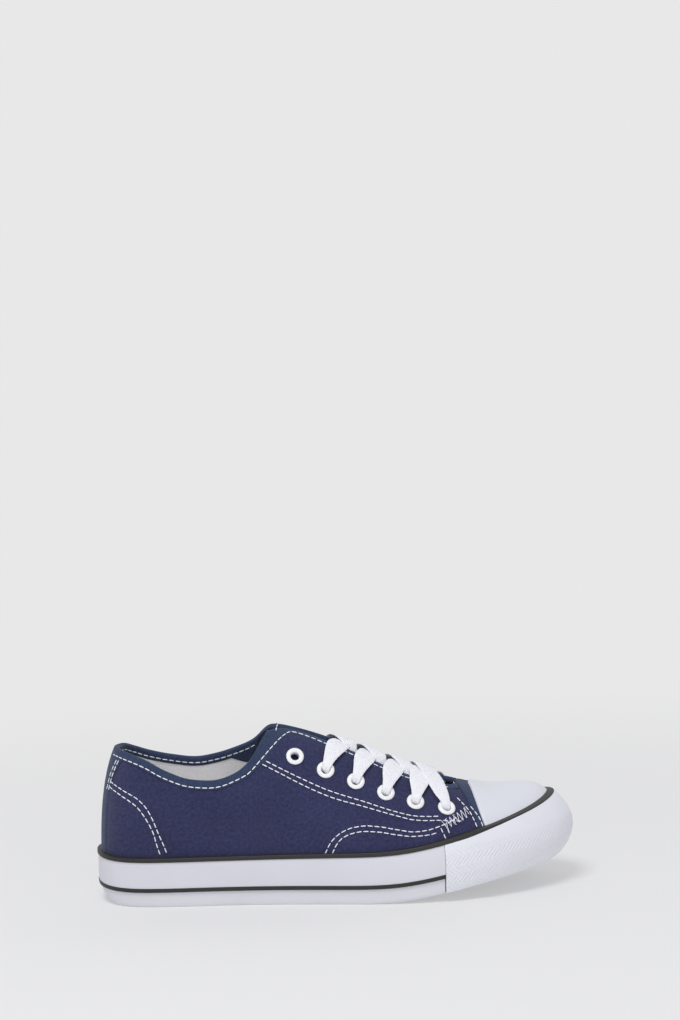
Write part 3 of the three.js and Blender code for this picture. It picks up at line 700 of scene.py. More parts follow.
t = stations(150, 0.6)[:, None]
lift = column("lift", t)
in_bumper = station_x(t) > BUMPER_START
rise = np.array([0.0, 0.2, 0.7, 2.5, 5.0, 7.6, 8.3, 8.6])
round_in = np.array([0.7, 0.2, 0.0, 0.0, 0.0, 0.0, 0.12, 0.4])
halves = []
for side in (-1, 1):
    side_z = lift + rise
    inset = np.where(in_bumper, bumper_seat(t, side_z) + GAP, lean(t, side_z) + OUTSOLE_INSET)
    wall = on_outline(t, side, inset + round_in, side_z)
    other = on_outline(t, -side, inset[:, :1] + round_in[0], lift)
    middle = (wall[:, :1] + other) / 2
    share = np.linspace(0, 1, 34)[None, :-1, None]
    bottom = middle + (wall[:, :1] - middle) * share
    bottom[..., 2] += tread(bottom - np.array([0, 1, 0]) * column("bend", t)[..., None],
                            column("half", t) - column("bot_in", t))
    shoulder = on_outline(t, side, column("wall", t), lift + OUTSOLE_BAND - 0.05)
    top = on_outline(t, side, column("wall", t), feather(t) - GAP)
    centre = (top + on_outline(t, -side, column("wall", t), feather(t) - GAP)) / 2
    halves.append(np.concatenate([bottom, wall, shoulder, top, centre], 1))
piece("outsole_visual", from_rings(np.concatenate([halves[0], halves[1][:, ::-1]], 1)),
      SOLE_RUBBER, ["outsole"])


# %% [markdown]
# Foxing, bumper and both black lines are strips of uncured rubber, laid on by hand and
# baked with the shoe. A curve with a bevel would not follow the sole's lean, so one
# function sweeps a section with rounded corners along the outline for all four.

# %% A band round the shoe
def fold(s):
    """Once round the shoe: s from 0 at the heel to 1 at the toe by the outer side, to 2
    at the heel again; gives t and side."""
    turn = np.mod(s, 2)
    return np.where(turn <= 1, turn, 2 - turn), np.where(turn <= 1, -1.0, 1.0)


def seat(t, side, z):
    """The face that a band lies on: the sole's edge and above the feather line the cloth."""
    low = on_outline(t, side, column("wall", t) - GAP, z)
    high = last(t, side, v_at_height(t, z))
    return np.where((z < feather(t))[..., None], low, high)


def band(s, bottom, top, out, depth=None, corner=0.6, toe=False):
    """Rings of a band round the shoe. The outer face follows the lean of the sole, out
    millimetres proud, with rounded corners; the back lies on the seat or depth below."""
    t, side = fold(s)
    t, side = t[:, None], side[:, None]
    turn = np.linspace(0, np.pi / 2, 5)
    middle = np.linspace(0, 1, 8)[1:-1]
    share = np.concatenate([0 * turn, middle, 0 * turn + 1])
    add_z = np.concatenate([corner * (1 - np.cos(turn)), corner * (1 - 2 * middle),
                            -corner * (1 - np.cos(turn[::-1]))])
    inset = np.concatenate([corner * (1 - np.sin(turn)), 0 * middle,
                            corner * (1 - np.sin(turn[::-1]))])
    low, high = bottom(t), top(t)
    z = low + (high - low) * share + add_z
    outer = on_outline(t, side, lean(t, z) + inset - out, z)
    if depth is not None:
        back = on_outline(t, side, lean(t, z) + depth(t), z)
    elif toe:
        below = on_outline(t, side, bumper_seat(t, z), z)
        back = np.where((z < feather(t))[..., None], below, seat(t, side, z))
    else:
        back = seat(t, side, z)
    return np.concatenate([outer, back[:, ::-1]], 1)


# %% Foxing, stripes and bumper
LOW_LINE, LOW_LINE_TOP = 8.8, 11.1
TOP_LINE_X, TOP_LINE_WIDTH = (0, 205, 224, 240, 270), (2.3, 2.3, 1.2, 0.6, 0.5)


def top_line(t):
    """Height of the lower edge of the top stripe, which narrows along the toe cap."""
    return sole_top(t) - monotone(station_x(t), TOP_LINE_X, TOP_LINE_WIDTH)


def lift_of(rise):
    """The edge that runs this far above the bottom of the sole, as a function of t."""
    def height(t):
        return column("lift", t) + rise
    return height


rear = stations(220, 1.2, 0.0, BUMPER_START - 0.2)
around_heel = np.concatenate([-rear[:0:-1], rear])
front = stations(90, 0.7, BUMPER_START, SOLE_LENGTH)
around_toe = np.concatenate([front, 2 - front[-2::-1]])
whole = stations(240, 1.2)
around = np.concatenate([whole, 2 - whole[-2:0:-1]])

piece("foxing_visual", from_rings(band(around_heel, lift_of(OUTSOLE_BAND), sole_top, 0.0)),
      FOXING_RUBBER, ["foxing"])
piece("toe_bumper_visual", from_rings(band(around_toe, lift_of(0.0), sole_top, 0.45, toe=True)),
      BUMPER_RUBBER, ["toe_bumper"])
piece("foot_stripe", from_rings(band(around_heel, lift_of(LOW_LINE), lift_of(LOW_LINE_TOP),
                                     0.3, lambda t: 0.6 + 0 * t, 0.2)),
      BLACK_RUBBER)
piece("top_stripe", from_rings(band(around, top_line, lambda t: sole_top(t) + 0.1, 0.65, corner=0.4),
                               closed=True),
      BLACK_RUBBER)

# %% [markdown]
# The toe cap is a moulded rubber shell, thick at its rear edge, where it is rounded and
# bows a little towards the heel. A thickened copy of the upper would give it a square
# edge, so its height above the cloth follows a quarter circle there instead.

# %% Toe cap
CAP_EDGE, CAP_BOW, CAP_INNER, CAP_THICKNESS, CAP_TUCK = 221.0, 2.6, 0.4, 1.6, 6.0
# Shares of the way from the cap's edge to the toe: where its rounding ends, and where the
# even columns begin.
CAP_ROUND, CAP_EVEN = 1.3 / 110, 0.013
halves = []
for side in (-1, 1):
    share = np.linspace(0, 1, 48)[:, None]
    begin = station_t(CAP_EDGE - CAP_BOW * np.sin(np.pi * share))
    far = np.concatenate([np.array([0.0, 0.05, 0.2, 0.5, 0.85]) * CAP_ROUND,
                          np.linspace(CAP_EVEN, 1, 70)])
    t = begin + (1 - begin) * far[None, :]
    start = v_at_height(t, sole_top(t) - CAP_TUCK)
    v = start + (1 - start) * share
    back = np.clip(far / CAP_ROUND, 0, 1)
    rise = CAP_INNER + CAP_THICKNESS * np.sqrt(1 - (1 - back) ** 2)
    normal = last_normal(t, side, v)
    outer = last(t, side, v) + normal * rise[None, :, None]
    inner = last(t, side, v) + normal * (CAP_INNER - 0.2)
    halves.append(panel(outer, inner))
piece("toe_cap_visual", halves, CAP_RUBBER, ["toe_cap"])

# %% [markdown]
# ## Cloth
# The upper is one thickness of canvas over a cotton lining. Holes are left for the
# eyelets. The overlays are second layers of the same canvas, and the binding is a tape
# folded over the raw edge.

# %% Upper and lining
EYELET_X = np.array([199.4, 181.2, 164.2, 147.2, 130.2, 112.9])
EYELET_ACROSS = np.array([29.8, 28.4, 26.0, 23.4, 21.4, 19.2])
CANVAS_THICKNESS, LINING_BACK, HOLE = 1.2, 2.0, 2.7
CUT_BACK, CUT_BACK_END = 1.0, 210.5
# How far below the top of the rubber each layer of cloth is tucked.
UPPER_TUCK, OVERLAY_TUCK, STRIP_TUCK = 5.0, 3.0, 4.0
eyelet_t = station_t(EYELET_X)
eyelet_v = v_at_across(eyelet_t, EYELET_ACROSS)


def without_holes(grid, side):
    """Which cells of a grid of points lie clear of every eyelet hole on that side."""
    clear = np.ones(grid.shape[:2], bool)
    for centre in last(eyelet_t, side, eyelet_v):
        clear &= np.linalg.norm(grid - centre, axis=-1) > HOLE
    return clear[:-1, :-1] & clear[1:, :-1] & clear[1:, 1:] & clear[:-1, 1:]


def cloth_panel(t, side, v, outer, inner, holes=True):
    """A layer of cloth between two offsets from the last."""
    face = skin(t, side, v, outer)
    middle = last(t, side, v)
    return panel(face, skin(t, side, v, inner), without_holes(middle, side) if holes else None)


end_t = station_t(np.arange(205.3, 212.6, 0.6))
upper_t = np.sort(np.concatenate([stations(190, 2.0), end_t]))[:, None]


def cut_edge(side):
    """Where the cloth is cut: a little short of the finished edge, inside the tape, and at
    the end of the throat on the edge itself."""
    short = line_below(side, CUT_BACK)
    return lambda t: np.where(station_x(t) < CUT_BACK_END, short(t), top_edge(t, side))


upper_parts, lining_parts = [], []
for side in (-1, 1):
    edge = cut_edge(side)(upper_t)
    low = v_at_height(upper_t, sole_top(upper_t) - UPPER_TUCK)
    v = low + (edge - low) * np.linspace(0, 1, 56)
    upper_parts.append(cloth_panel(upper_t, side, v, 0.0, -CANVAS_THICKNESS))
    v = edge * np.linspace(0, 1, 44)
    lining_parts.append(cloth_panel(upper_t, side, v, -CANVAS_THICKNESS - 0.05, -LINING_BACK))
piece("canvas_upper", upper_parts, CANVAS, ["upper"])
piece("cotton_lining", lining_parts, LINING)

# %% [markdown]
# Eyestay, side patch and heel counter are cut from the same canvas and sewn on top, where
# the shoe pulls hardest. Painting them on would lose the small step that catches the
# light, so each is a sheet of its own with both long edges rounded down.

# %% Overlays: eyestay, side patch and heel counter
LAYER = 0.4


def raised(count, height=LAYER, edge=2):
    """Offsets of a layer of cloth across its width, rounded down at both edges."""
    place = np.minimum(np.arange(count), np.arange(count)[::-1]) / edge
    return height * np.sqrt(1 - (1 - np.clip(place, 0, 1)) ** 2)


def overlay(side, x_range, low, high, step=1.0, rows=26, holes=False):
    """A second layer between two heights or edges, each a function of t giving v."""
    t = station_t(np.arange(*x_range, step))[:, None]
    bottom, top = low(t), high(t)
    v = bottom + np.maximum(top - bottom, 0) * np.linspace(0, 1, rows)
    return cloth_panel(t, side, v, raised(rows)[None] + 0 * v, -0.3, holes)


def at_height(xs, zs):
    """An edge given by a short table of heights."""
    return lambda t: v_at_height(t, monotone(station_x(t), xs, zs))


def from_sole(t):
    """The foot of every overlay, hidden by the rubber."""
    return v_at_height(t, sole_top(t) - OVERLAY_TUCK)


EYESTAY_X = (92, 96, 117, 132, 151, 169, 181, 198, 214)
EYESTAY_Z = (80.0, 76.4, 66.2, 57.6, 51.7, 46.2, 43.2, 42.0, 40.4)
PATCH_X = (127, 130, 137, 144, 151, 159, 169, 179, 187, 194, 199, 201)
PATCH_Z = (27, 35.5, 41.5, 44.0, 44.6, 43.9, 42.0, 40.5, 41.0, 42.0, 41.6, 33.0)
COUNTER_X = (0, 4, 14, 24, 30.5, 34.5, 37.8, 40.5, 42.5)
COUNTER_Z = (71.8, 71.0, 66.8, 62.5, 56.5, 49.5, 42.0, 34.8, 25.0)
eyestays, patches = [], []
for side in (-1, 1):
    eyestays.append(overlay(side, (92, 209), at_height(EYESTAY_X, EYESTAY_Z),
                            cut_edge(side), 0.9, 48, holes=True))
    patches.append(overlay(side, (127.2, 201), from_sole, at_height(PATCH_X, PATCH_Z)))
    patches.append(overlay(side, (0, 42.5), from_sole, at_height(COUNTER_X, COUNTER_Z), 0.5))
piece("eyestay_canvas", eyestays, CANVAS)
piece("canvas_patches", patches, CANVAS)

# %% [markdown]
# A tape covers the seam up the back of the heel, and another closes the cloth in front of
# the throat. Both are narrow strips whose width changes along them, so a short table says
# how wide they are at each height.

# %% Backstay and toe strip
share = np.linspace(0, 1, 60)[None, :]
half_way = monotone(24 + 66 * share, (24, 56, 65, 73, 82, 90), (3.6, 4.0, 4.8, 6.0, 8.2, 10.5))
strip = []
for side in (-1, 1):
    t = station_t(half_way) * np.linspace(0, 1, 16)[:, None]
    low = from_sole(t)
    v = low + (cut_edge(side)(t) - low) * share
    rise = 0.5 + raised(31)[15:][:, None] + 0 * v
    strip.append(cloth_panel(t, side, v, rise, -0.2, False))
piece("backstay_tape", strip, TAPE)

STRIP_Z = (28, 36.8, 46.1, 52.0, 56.0, 59.2)
STRIP_X = (216.0, 214.6, 212.6, 211.6, 211.8, 212.8)
STRIP_FOOT, STRIP_FRONT = 24.0, 223.0
toe_strip = []
for side in (-1, 1):
    share = np.linspace(0, 1, 50)[:, None]
    z = STRIP_FOOT + (last(station_t(213.0), side, 1)[2] - STRIP_FOOT) * share
    rear_edge = monotone(z, STRIP_Z, STRIP_X)
    t = station_t(rear_edge + (STRIP_FRONT - rear_edge) * np.linspace(0, 1, 14))
    low = v_at_height(t, sole_top(t) - STRIP_TUCK)
    v = low + (1 - low) * share
    toe_strip.append(cloth_panel(t, side, v, 0.5 + raised(14)[None] + 0 * v, -0.2, False))
piece("toe_strip_tape", toe_strip, TAPE)

# %% [markdown]
# The raw edge is closed by a woven tape, folded over it and sewn through. It needs a true
# half round on top, because the collar is seen edge on all the way round.

# %% Binding
BINDING_WIDTH, BINDING_ROLL, BINDING_END = 5.4, 1.4, 211.0


def binding(side):
    """A tape over the edge: down the outside, a half round over the top, down the
    inside. Ring by ring along the edge from the heel to the end of the throat."""
    t = station_t(np.concatenate([[0, 0.2, 0.6, 1.2, 2.0], np.arange(3.0, BINDING_END, 0.9)]))[:, None]
    edge = line_below(side, BINDING_ROLL)(t)
    foot = line_below(side, BINDING_WIDTH)(t)
    down = np.linspace(1, 0, 7)[None, :]
    outside = skin(t, side, edge + (foot - edge) * down, 0.48 + 0.3 * np.sqrt(1 - down**4))
    rise = down[:, ::-1]
    inside = skin(t, side, edge + (foot - edge) * rise, -2.3 - 0.25 * np.sqrt(1 - rise**4))
    up = unit(last(t, side, edge) - last(t, side, edge - 2e-3))
    normal = last_normal(t, side, edge)
    turn = np.linspace(0, np.pi, 9)[None, 1:-1, None]
    rim = last(t, side, edge) + normal * (-0.88 + 1.66 * np.cos(turn)) + up * BINDING_ROLL * np.sin(turn)
    return from_rings(np.concatenate([outside, rim, inside], 1))


piece("collar_binding", [binding(-1), binding(1)], TAPE, sharp=60)

# %% [markdown]
# The tongue lies under the laces and is sewn in at the end of the throat. The insole is a
# cotton-covered board.

# %% Tongue and insole
TONGUE_X = (95.5, 97, 101, 120, 160, 196, 214.5)
TONGUE_HALF = (13, 18, 21.5, 24, 25, 24, 20)


def instep(x, across, height):
    """The point over the instep this far forward, this far out from the top line (minus
    on the outer side) and this high above the last."""
    x, across, height = np.broadcast_arrays(*(np.asarray(a, float) for a in (x, across, height)))
    t, side = station_t(x), np.where(across < 0, -1.0, 1.0)
    v = v_at_across(t, np.abs(across))
    return last(t, side, v) + last_normal(t, side, v) * height[..., None]


x = np.linspace(95.5, 214.5, 90)[:, None]
across = monotone(x, TONGUE_X, TONGUE_HALF) * np.linspace(-1, 1, 41)[None, :]
soft = np.outer(raised(90, 1, 3), raised(41, 1, 3))
piece("tongue_canvas", panel(instep(x, across, -5.1 + 1.0 * soft), instep(x, across, -5.1 - 0.9 * soft)),
      CANVAS, ["tongue"], sharp=70)

t = stations(120, 2.5)[:, None]
rings = []
for side in (-1, 1):
    inset = column("wall", t) + 2.9
    base = on_outline(t, side, inset, feather(t))
    edge = on_outline(t, side, inset + np.array([0, 0.3, 1.2]), feather(t) + np.array([2.4, 3.2, 3.5]))
    middle = (edge[:, -1:] + on_outline(t, -side, inset + 1.2, feather(t) + 3.5)) / 2
    low_middle = (base + on_outline(t, -side, inset, feather(t))) / 2
    rings.append(np.concatenate([low_middle, base, edge, middle], 1))
piece("insole_visual", from_rings(np.concatenate([rings[0], rings[1][:, ::-1]], 1)),
      LINING, ["insole"])

# %% [markdown]
# ## Stitching
# Lock stitches in thick bleached thread, 3.8 mm apart. One stitch is a small
# superellipsoid; all of them are placed at once.

# %% Rows of stitches
STITCH_PITCH, STITCH_LENGTH, THREAD_WIDTH = 3.8, 3.0, 0.62


def stitches(path, normals, pitch=STITCH_PITCH, length=STITCH_LENGTH, thread=THREAD_WIDTH):
    """One body per stitch: centres at even distances along the path, each turned along
    it, with a rounded section standing on the surface."""
    far = np.concatenate([[0], np.cumsum(np.linalg.norm(np.diff(path, axis=0), axis=1))])
    centres = (np.arange(max(int(far[-1] / pitch), 1)) + 0.5) * pitch

    def at(d, rows):
        return np.stack([np.interp(d, far, rows[:, k]) for k in range(3)], -1)

    run = unit(at(centres + length / 2, path) - at(centres - length / 2, path))
    normal = unit(at(centres, normals))
    aside = unit(np.cross(run, normal))
    a, b = np.linspace(0, np.pi, 8), np.arange(8) * np.pi / 4
    along = -np.sign(np.cos(a)) * np.abs(np.cos(a)) ** 0.8 * length / 2
    wide = np.sin(a) ** 0.6 * thread / 2
    wide[[0, -1]] = 0
    points = (at(centres, path)[:, None, None]
              + run[:, None, None] * along[None, :, None, None]
              + aside[:, None, None] * (wide[:, None] * np.cos(b))[None, ..., None]
              + normal[:, None, None] * (0.8 * wide[:, None] * np.sin(b))[None, ..., None])
    grid = np.arange(64).reshape(8, 8)
    beside = np.roll(grid, -1, 1)
    one = np.stack([grid[:-1], grid[1:], beside[1:], beside[:-1]], -1).reshape(-1, 4)
    quads = (one[None] + 64 * np.arange(len(centres))[:, None, None]).reshape(-1, 4)
    points = points.reshape(-1, 3)
    return points, outward(points, quads), np.zeros((len(points), 2))


def sewn(side, t, v, rise, **sizes):
    """A row of stitches on the surface, rise above the cloth."""
    return stitches(skin(t, side, v, rise), last_normal(t, side, v) * np.sign(rise), **sizes)


def row_through(side, xs, zs, rise, **sizes):
    """A row through a short table of places."""
    far = np.concatenate([[0], np.cumsum(np.hypot(np.diff(xs), np.diff(zs)))])
    fine = np.linspace(0, far[-1], 200)
    t = station_t(monotone(fine, far, xs))
    return sewn(side, t, v_at_height(t, monotone(fine, far, zs)), rise, **sizes)


ROWS = (
    # station x, height z, rise: eyestay, side patch, heel counter, short rows, cap edge
    ((96, 117, 132, 151, 169, 181, 198), (79.4, 68.9, 62.2, 55.8, 49.7, 46.8, 45.6), 0.6),
    ((94, 132, 151, 169, 180, 198, 211), (77.8, 59.1, 53.2, 47.7, 44.9, 43.5, 42.3), 0.6),
    ((128, 132, 138, 144, 151, 159, 169, 179, 187, 194, 201, 207),
     (28, 35, 40, 42.3, 43.1, 42.4, 40.5, 39, 39.6, 41, 43.1, 46.5), 0.6),
    ((132, 135, 138, 144, 150, 158, 169, 178, 187, 194),
     (28, 33.5, 36.7, 39.3, 40.2, 39.7, 37.8, 36.7, 37.1, 38.4), 0.6),
    ((4, 14, 23, 29, 33, 36, 39, 41), (69.1, 65.1, 61, 55.7, 48.9, 41.6, 34.5, 28.7), 0.6),
    ((4, 12, 23, 29, 33, 35, 37), (66.1, 62.7, 56.6, 49.5, 42, 34.9, 28.7), 0.6),
    ((101.8, 101), (96.5, 91.5), 1.0),
    ((194, 197), (40.4, 33.6), 0.6),
    ((198, 200), (40, 33.6), 0.6),
    ((207, 213, 216), (53.4, 46.1, 36.8), 0.95),
    ((214, 216, 218, 219), (49, 46.3, 42.7, 38.4), 0.95),
)


def bartack(side, legs=13, swing=2.2):
    """The dense zigzag that holds the foot of the eyestay: a triangle wave of heights
    along a short line, with the dashes so close that they make one thread."""
    step = np.linspace(0, legs, legs * 10)
    wave = swing * (2 * np.abs(np.mod(step, 2) - 1) - 1)
    t = station_t(196 + 16 * step / legs - 0.4 * wave)
    z = 41.2 + 5.6 * step / legs + wave
    return sewn(side, t, v_at_height(t, z), 0.85, pitch=1.5, length=1.7, thread=0.38)


def below_inside(side):
    """The row that shows inside the collar, a little nearer to the edge."""
    found = below_edge(side, TAPE_ROW - 0.8)
    return lambda t: np.interp(t, BAND_T, found)


sewing = []
for side in (-1, 1):
    sewing += [row_through(side, xs, zs, rise) for xs, zs, rise in ROWS]
    t = station_t(np.linspace(1.5, 205, 500))
    sewing.append(sewn(side, t, line_below(side, TAPE_ROW)(t), 0.95))
    t = station_t(np.linspace(1.5, 92, 300))
    sewing.append(sewn(side, t, below_inside(side)(t), -2.6))
    z = np.linspace(64, 82, 60)
    for inward in (1.2, 3.0):
        t = station_t(monotone(z, (64, 73, 84), (4.8, 6.0, 9.0)) - inward * z / 84)
        sewing.append(sewn(side, t, v_at_height(t, z), 0.95))
    sewing.append(bartack(side))
piece("white_stitching", sewing, THREAD)

# %% [markdown]
# ## Eyelets and lace
# An eyelet is a lathe shape: a domed flange outside, a barrel through the cloth and a
# clenched rim inside. The lace is one flat ribbon. It starts under a top eyelet, zigzags
# down to the toe, crosses inside as a bar and climbs the other way.

# %% Eyelets
profile = np.array([
    # radius, height: up the outside of the barrel, round the flange, down the hole
    (3.0, -2.1), (3.0, 0.5), (4.9, 0.5), (5.0, 0.75), (4.85, 1.1), (4.4, 1.42), (3.8, 1.6), (3.2, 1.58),
    (2.7, 1.3), (2.4, 0.8), (2.3, 0.0), (2.3, -2.3), (2.6, -2.75), (3.4, -2.9), (4.2, -2.6), (4.3, -2.1),
])
rings = []
for side in (-1, 1):
    centre = last(eyelet_t, side, eyelet_v)
    axis = last_normal(eyelet_t, side, eyelet_v)
    one = unit(np.cross(axis, [0, 1.0, 0]))
    two = np.cross(axis, one)
    angle = np.arange(32) * np.pi / 16
    out = one[:, None] * np.cos(angle)[None, :, None] + two[:, None] * np.sin(angle)[None, :, None]
    for c, n, o in zip(centre, axis, out):
        ring = c + o[:, None] * profile[None, :, :1] + n * profile[None, :, 1:]
        around_hole = np.concatenate([ring, ring[:, :1]], 1)
        rings.append(from_rings(around_hole, closed=True))
eyelet_nodes = [f"eyelet_{letter}{n}" for letter in "lm" for n in range(1, 7)]
piece("enamel_eyelets", rings, ENAMEL, eyelet_nodes, sharp=50)

# %% [markdown]
# The lace is a flat woven braid, pulled round where it enters an eyelet. Its way is known
# from how such a shoe is laced, so a few places are written for one pass, repeated for
# the others, and then averaged until they bend as softly as a braid does.

# %% Lace
UNDER, LACE_THICKNESS = -2.95, 1.4


def pass_over(n, side):
    """Places of the lace from one eyelet to the opposite one of the next pair: forward,
    across, height, width, and lean of its width from the length of the shoe."""
    x0, x1 = EYELET_X[n], EYELET_X[n + 1]
    a0, a1 = EYELET_ACROSS[n], EYELET_ACROSS[n + 1]
    gap = float(monotone(x0, THROAT_X, THROAT_HALF))
    near = side < 0
    if n == 0:
        rows = [(a0, 0.2, 4.4), (a0 - 1, 1.9, 4.8), (a0 - 3.2, 2.5, 6), (a0 - 6.5, 2.0, 8.5),
                (gap, 2.4 if near else 1.8, 11.5), (0, 3.2 if near else 1.2, 12)]
    elif near:
        rows = [(a0 - 1.2, -2.7, 5), (a0 - 4, UNDER, 6.5), (gap + 1, UNDER, 7.5), (gap - 5, 1.9, 10)]
    else:
        rows = [(a0 - 1.2, -2.7, 5), (a0 - 4, UNDER, 6.5), (gap + 1, UNDER, 7.5), (0, -0.1, 10.5)]
    rows += [(-gap - 2.5, 2.4 if near else 1.9, 12), (-a1 + 10, 2.2, 11.5), (-a1 + 6.5, 2.4, 9),
             (-a1 + 3.2, 2.8, 6.4), (-a1 + 1, 2.3, 5.0), (-a1, 0.4, 4.4), (-a1, -1.6, 4.2)]
    q, height, width = np.array(rows).T
    turn = a0 if n == 0 else gap
    x = x0 + (x1 - x0) * np.clip((turn - q) / (turn + a1), 0, 1)
    tilt = math.atan2(x0 - x1, turn + a1) * side
    return np.stack([x, side * q, height, width, np.full(len(q), -tilt)], 1)


def strand(side):
    """From the inside of a first eyelet up to the fifth."""
    return np.concatenate([pass_over(n, side if n % 2 == 0 else -side) for n in range(4)])


bar = np.array([(EYELET_X[0], a, h, w, 0.0) for a, h, w in (
    (-29.8, -1.6, 4.2), (-28.4, -2.8, 5), (-25, UNDER, 7), (-14, UNDER, 8.5), (14, UNDER, 8.5),
    (25, UNDER, 7), (28.4, -2.8, 5), (29.8, -1.6, 4.2))])
keys = np.concatenate([strand(-1)[::-1], bar, strand(1)])
rough = instep(keys[:, 0], keys[:, 1], keys[:, 2])
far = np.concatenate([[0], np.cumsum(np.maximum(np.linalg.norm(np.diff(rough, axis=0), axis=1), 0.3))])
fine = np.arange(0, far[-1], 0.5)
dense = np.stack([np.interp(fine, far, keys[:, k]) for k in range(5)], 1)
window = np.hanning(9)[1:-1] / np.hanning(9)[1:-1].sum()
wide_window = np.hanning(25)[1:-1] / np.hanning(25)[1:-1].sum()
smoothed = [np.convolve(np.pad(dense[:, k], len(w) // 2, mode="edge"), w, "valid")
            for k, w in enumerate((window, window, window, wide_window, wide_window))]
x, across, height, width, tilt = smoothed
centre = instep(x, across, height)
forward = unit(instep(x + 0.5, across, height) - instep(x - 0.5, across, height))
outwards = unit(instep(x, across + 0.5, height) - instep(x, across - 0.5, height))
run = unit(np.gradient(centre, axis=0))
flat = forward * np.cos(tilt)[:, None] + outwards * np.sin(tilt)[:, None]
up = unit(np.cross(run, flat))
flat = np.cross(up, run)
angle = (np.arange(18) + 0.5) * 2 * np.pi / 18
wide = np.sign(np.cos(angle)) * np.abs(np.cos(angle)) ** 0.55
thick = np.sign(np.sin(angle)) * np.abs(np.sin(angle)) ** 0.8
bunched = LACE_THICKNESS * (1 + 0.5 * np.clip((6.5 - width) / 2.3, 0, 1))
ribbon = (centre[:, None] + flat[:, None] * (width[:, None] / 2 * wide)[..., None]
          + up[:, None] * (bunched[:, None] / 2 * thick)[..., None])
steps = np.linalg.norm(np.diff(centre, axis=0), axis=1)
print("the lace is", round(float(steps.sum())), "mm long, inside and outside")
piece("cotton_lace", from_rings(ribbon), LACE_COTTON,
      ["lace_bar"] + [f"lace_cross_{n}" for n in range(1, 5)])

# %% [markdown]
# ## Studio
# A pale paper sweep that is lit from all round, as for a catalogue: a little of its own
# light keeps it even, and one large soft lamp up on the left gives the shadow.

# %% Paper sweep
bend = np.linspace(0.1, np.pi / 2, 16)
sweep_y = np.concatenate([[-3.0], np.linspace(-1, 1.5, 8), 1.5 + 1.5 * np.sin(bend), [3.0]])
sweep_z = np.concatenate([[0.0], np.zeros(8), 1.5 - 1.5 * np.cos(bend), [5.0]])
corners = [(x, y, z) for y, z in zip(sweep_y.tolist(), sweep_z.tolist()) for x in (-4.0, 4.0)]
paper_mesh = bpy.data.meshes.new("paper_sweep")
strips = [(2 * i, 2 * i + 1, 2 * i + 3, 2 * i + 2) for i in range(len(sweep_y) - 1)]
paper_mesh.from_pydata(corners, [], strips)
paper_mesh.polygons.foreach_set("use_smooth", np.ones(len(paper_mesh.polygons), bool))
paper = bpy.data.objects.new("paper_sweep", paper_mesh)
bpy.context.scene.collection.objects.link(paper)
paper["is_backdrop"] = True

paper_finish = bpy.data.materials.new("pale_studio_paper")
paper_finish.use_nodes = True
paper_finish.node_tree.nodes.clear()
matt = add(paper_finish.node_tree, "ShaderNodeBsdfDiffuse", Color=linear("#e9e9e9"))
glow = add(paper_finish.node_tree, "ShaderNodeEmission", Color=linear("#e8e8e8"), Strength=1.0)
spot = add(paper_finish.node_tree, "ShaderNodeTexCoord")
reach = add(paper_finish.node_tree, "ShaderNodeVectorMath", {"operation": "LENGTH"},
            i0=spot.outputs["Object"])
evenness = add(paper_finish.node_tree, "ShaderNodeMapRange", {"interpolation_type": "SMOOTHSTEP"},
               i0=reach.outputs["Value"], i1=0.15, i2=0.75, i3=0.36, i4=1.0)
both = add(paper_finish.node_tree, "ShaderNodeMixShader", i0=evenness.outputs[0], i1=matt.outputs[0],
           i2=glow.outputs[0])
add(paper_finish.node_tree, "ShaderNodeOutputMaterial", Surface=both.outputs[0])
paper_mesh.materials.append(paper_finish)

print("paper of", len(strips), "strips")

# %% [markdown]
# One large lamp gives a soft shadow with a direction, a weaker one keeps the near side
# from going grey, and the camera stands low and a little way off, as one looks at a shoe.

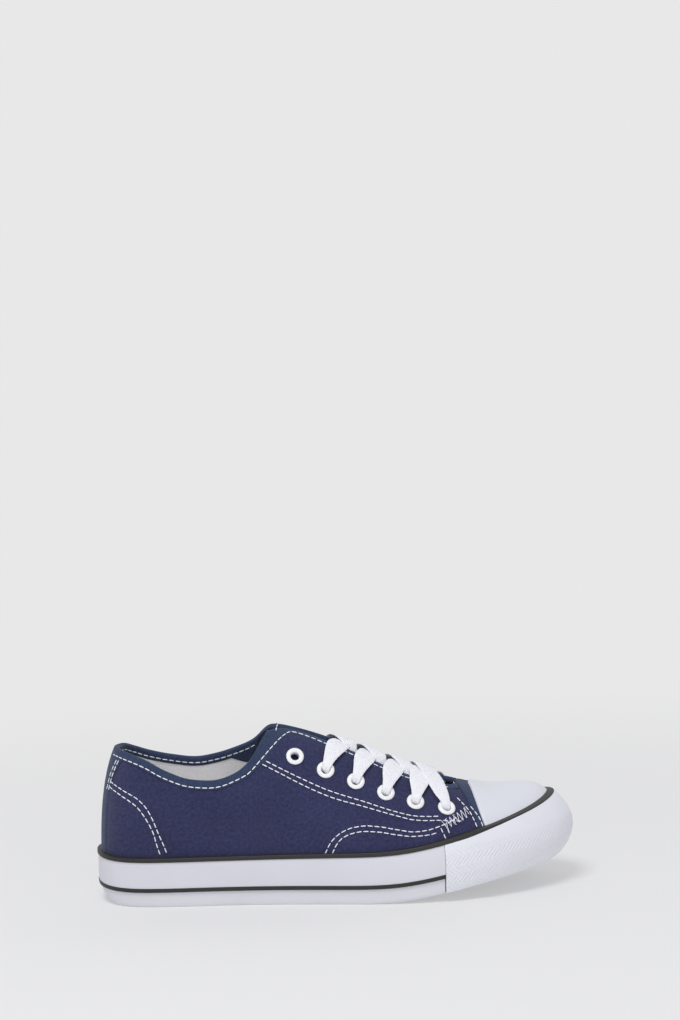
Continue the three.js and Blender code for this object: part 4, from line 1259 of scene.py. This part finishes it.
# %% Lamps and camera
scene = bpy.context.scene
scene.view_settings.view_transform = "Standard"
scene.world = bpy.data.worlds.new("even_studio_light")
scene.world.use_nodes = True
scene.world.node_tree.nodes["Background"].inputs[0].default_value = linear("#f6f7ff")
scene.world.node_tree.nodes["Background"].inputs[1].default_value = 0.55


def lamp(name, place, aim, size, power):
    """A square area lamp, power in watts."""
    light = bpy.data.lights.new(name, "AREA")
    light.size, light.energy = size, power
    made = bpy.data.objects.new(name, light)
    made.location = place
    made.rotation_euler = (Vector(aim) - Vector(place)).to_track_quat("-Z", "Y").to_euler()
    scene.collection.objects.link(made)


lamp("key_softbox", (-0.35, -1.0, 1.8), (0, 0, 0.03), 0.8, 19)
lamp("front_fill", (0.3, -2.4, 0.5), (0, 0, 0.05), 1.4, 7)

TARGET = (np.array([135.0, 0.0, 45.0]) - ORIGIN) / 1000
DISTANCE, ELEVATION, ROLL = 1.6, math.radians(11.5), math.radians(2.2)
AIM_ASIDE, AIM_DOWN = math.radians(0.104), math.radians(6.11)
back = Vector((0, -math.cos(ELEVATION), math.sin(ELEVATION)))
over = Vector((0, math.sin(ELEVATION), math.cos(ELEVATION)))
right = Vector((1, 0, 0))
level = Matrix((right * math.cos(ROLL) - over * math.sin(ROLL),
                right * math.sin(ROLL) + over * math.cos(ROLL), back)).transposed()
aside = Vector((-math.tan(AIM_ASIDE), -math.tan(AIM_DOWN), -1)).normalized()
turned = level @ Vector((0, 0, -1)).rotation_difference(aside).to_matrix().inverted()
camera_data = bpy.data.cameras.new("camera")
camera_data.lens = 99.07
camera = bpy.data.objects.new("camera", camera_data)
camera.matrix_world = Matrix.Translation(Vector(TARGET) + back * DISTANCE) @ turned.to_4x4()
scene.collection.objects.link(camera)
scene.camera = camera
print("the camera stands", DISTANCE, "m away")

# %% [markdown]
# Last, the size of everything that was made is printed.

# %% Sizes, and done
low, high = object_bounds()
print("visual side lengths", [round(1000 * side, 1) for side in high - low], "mm")
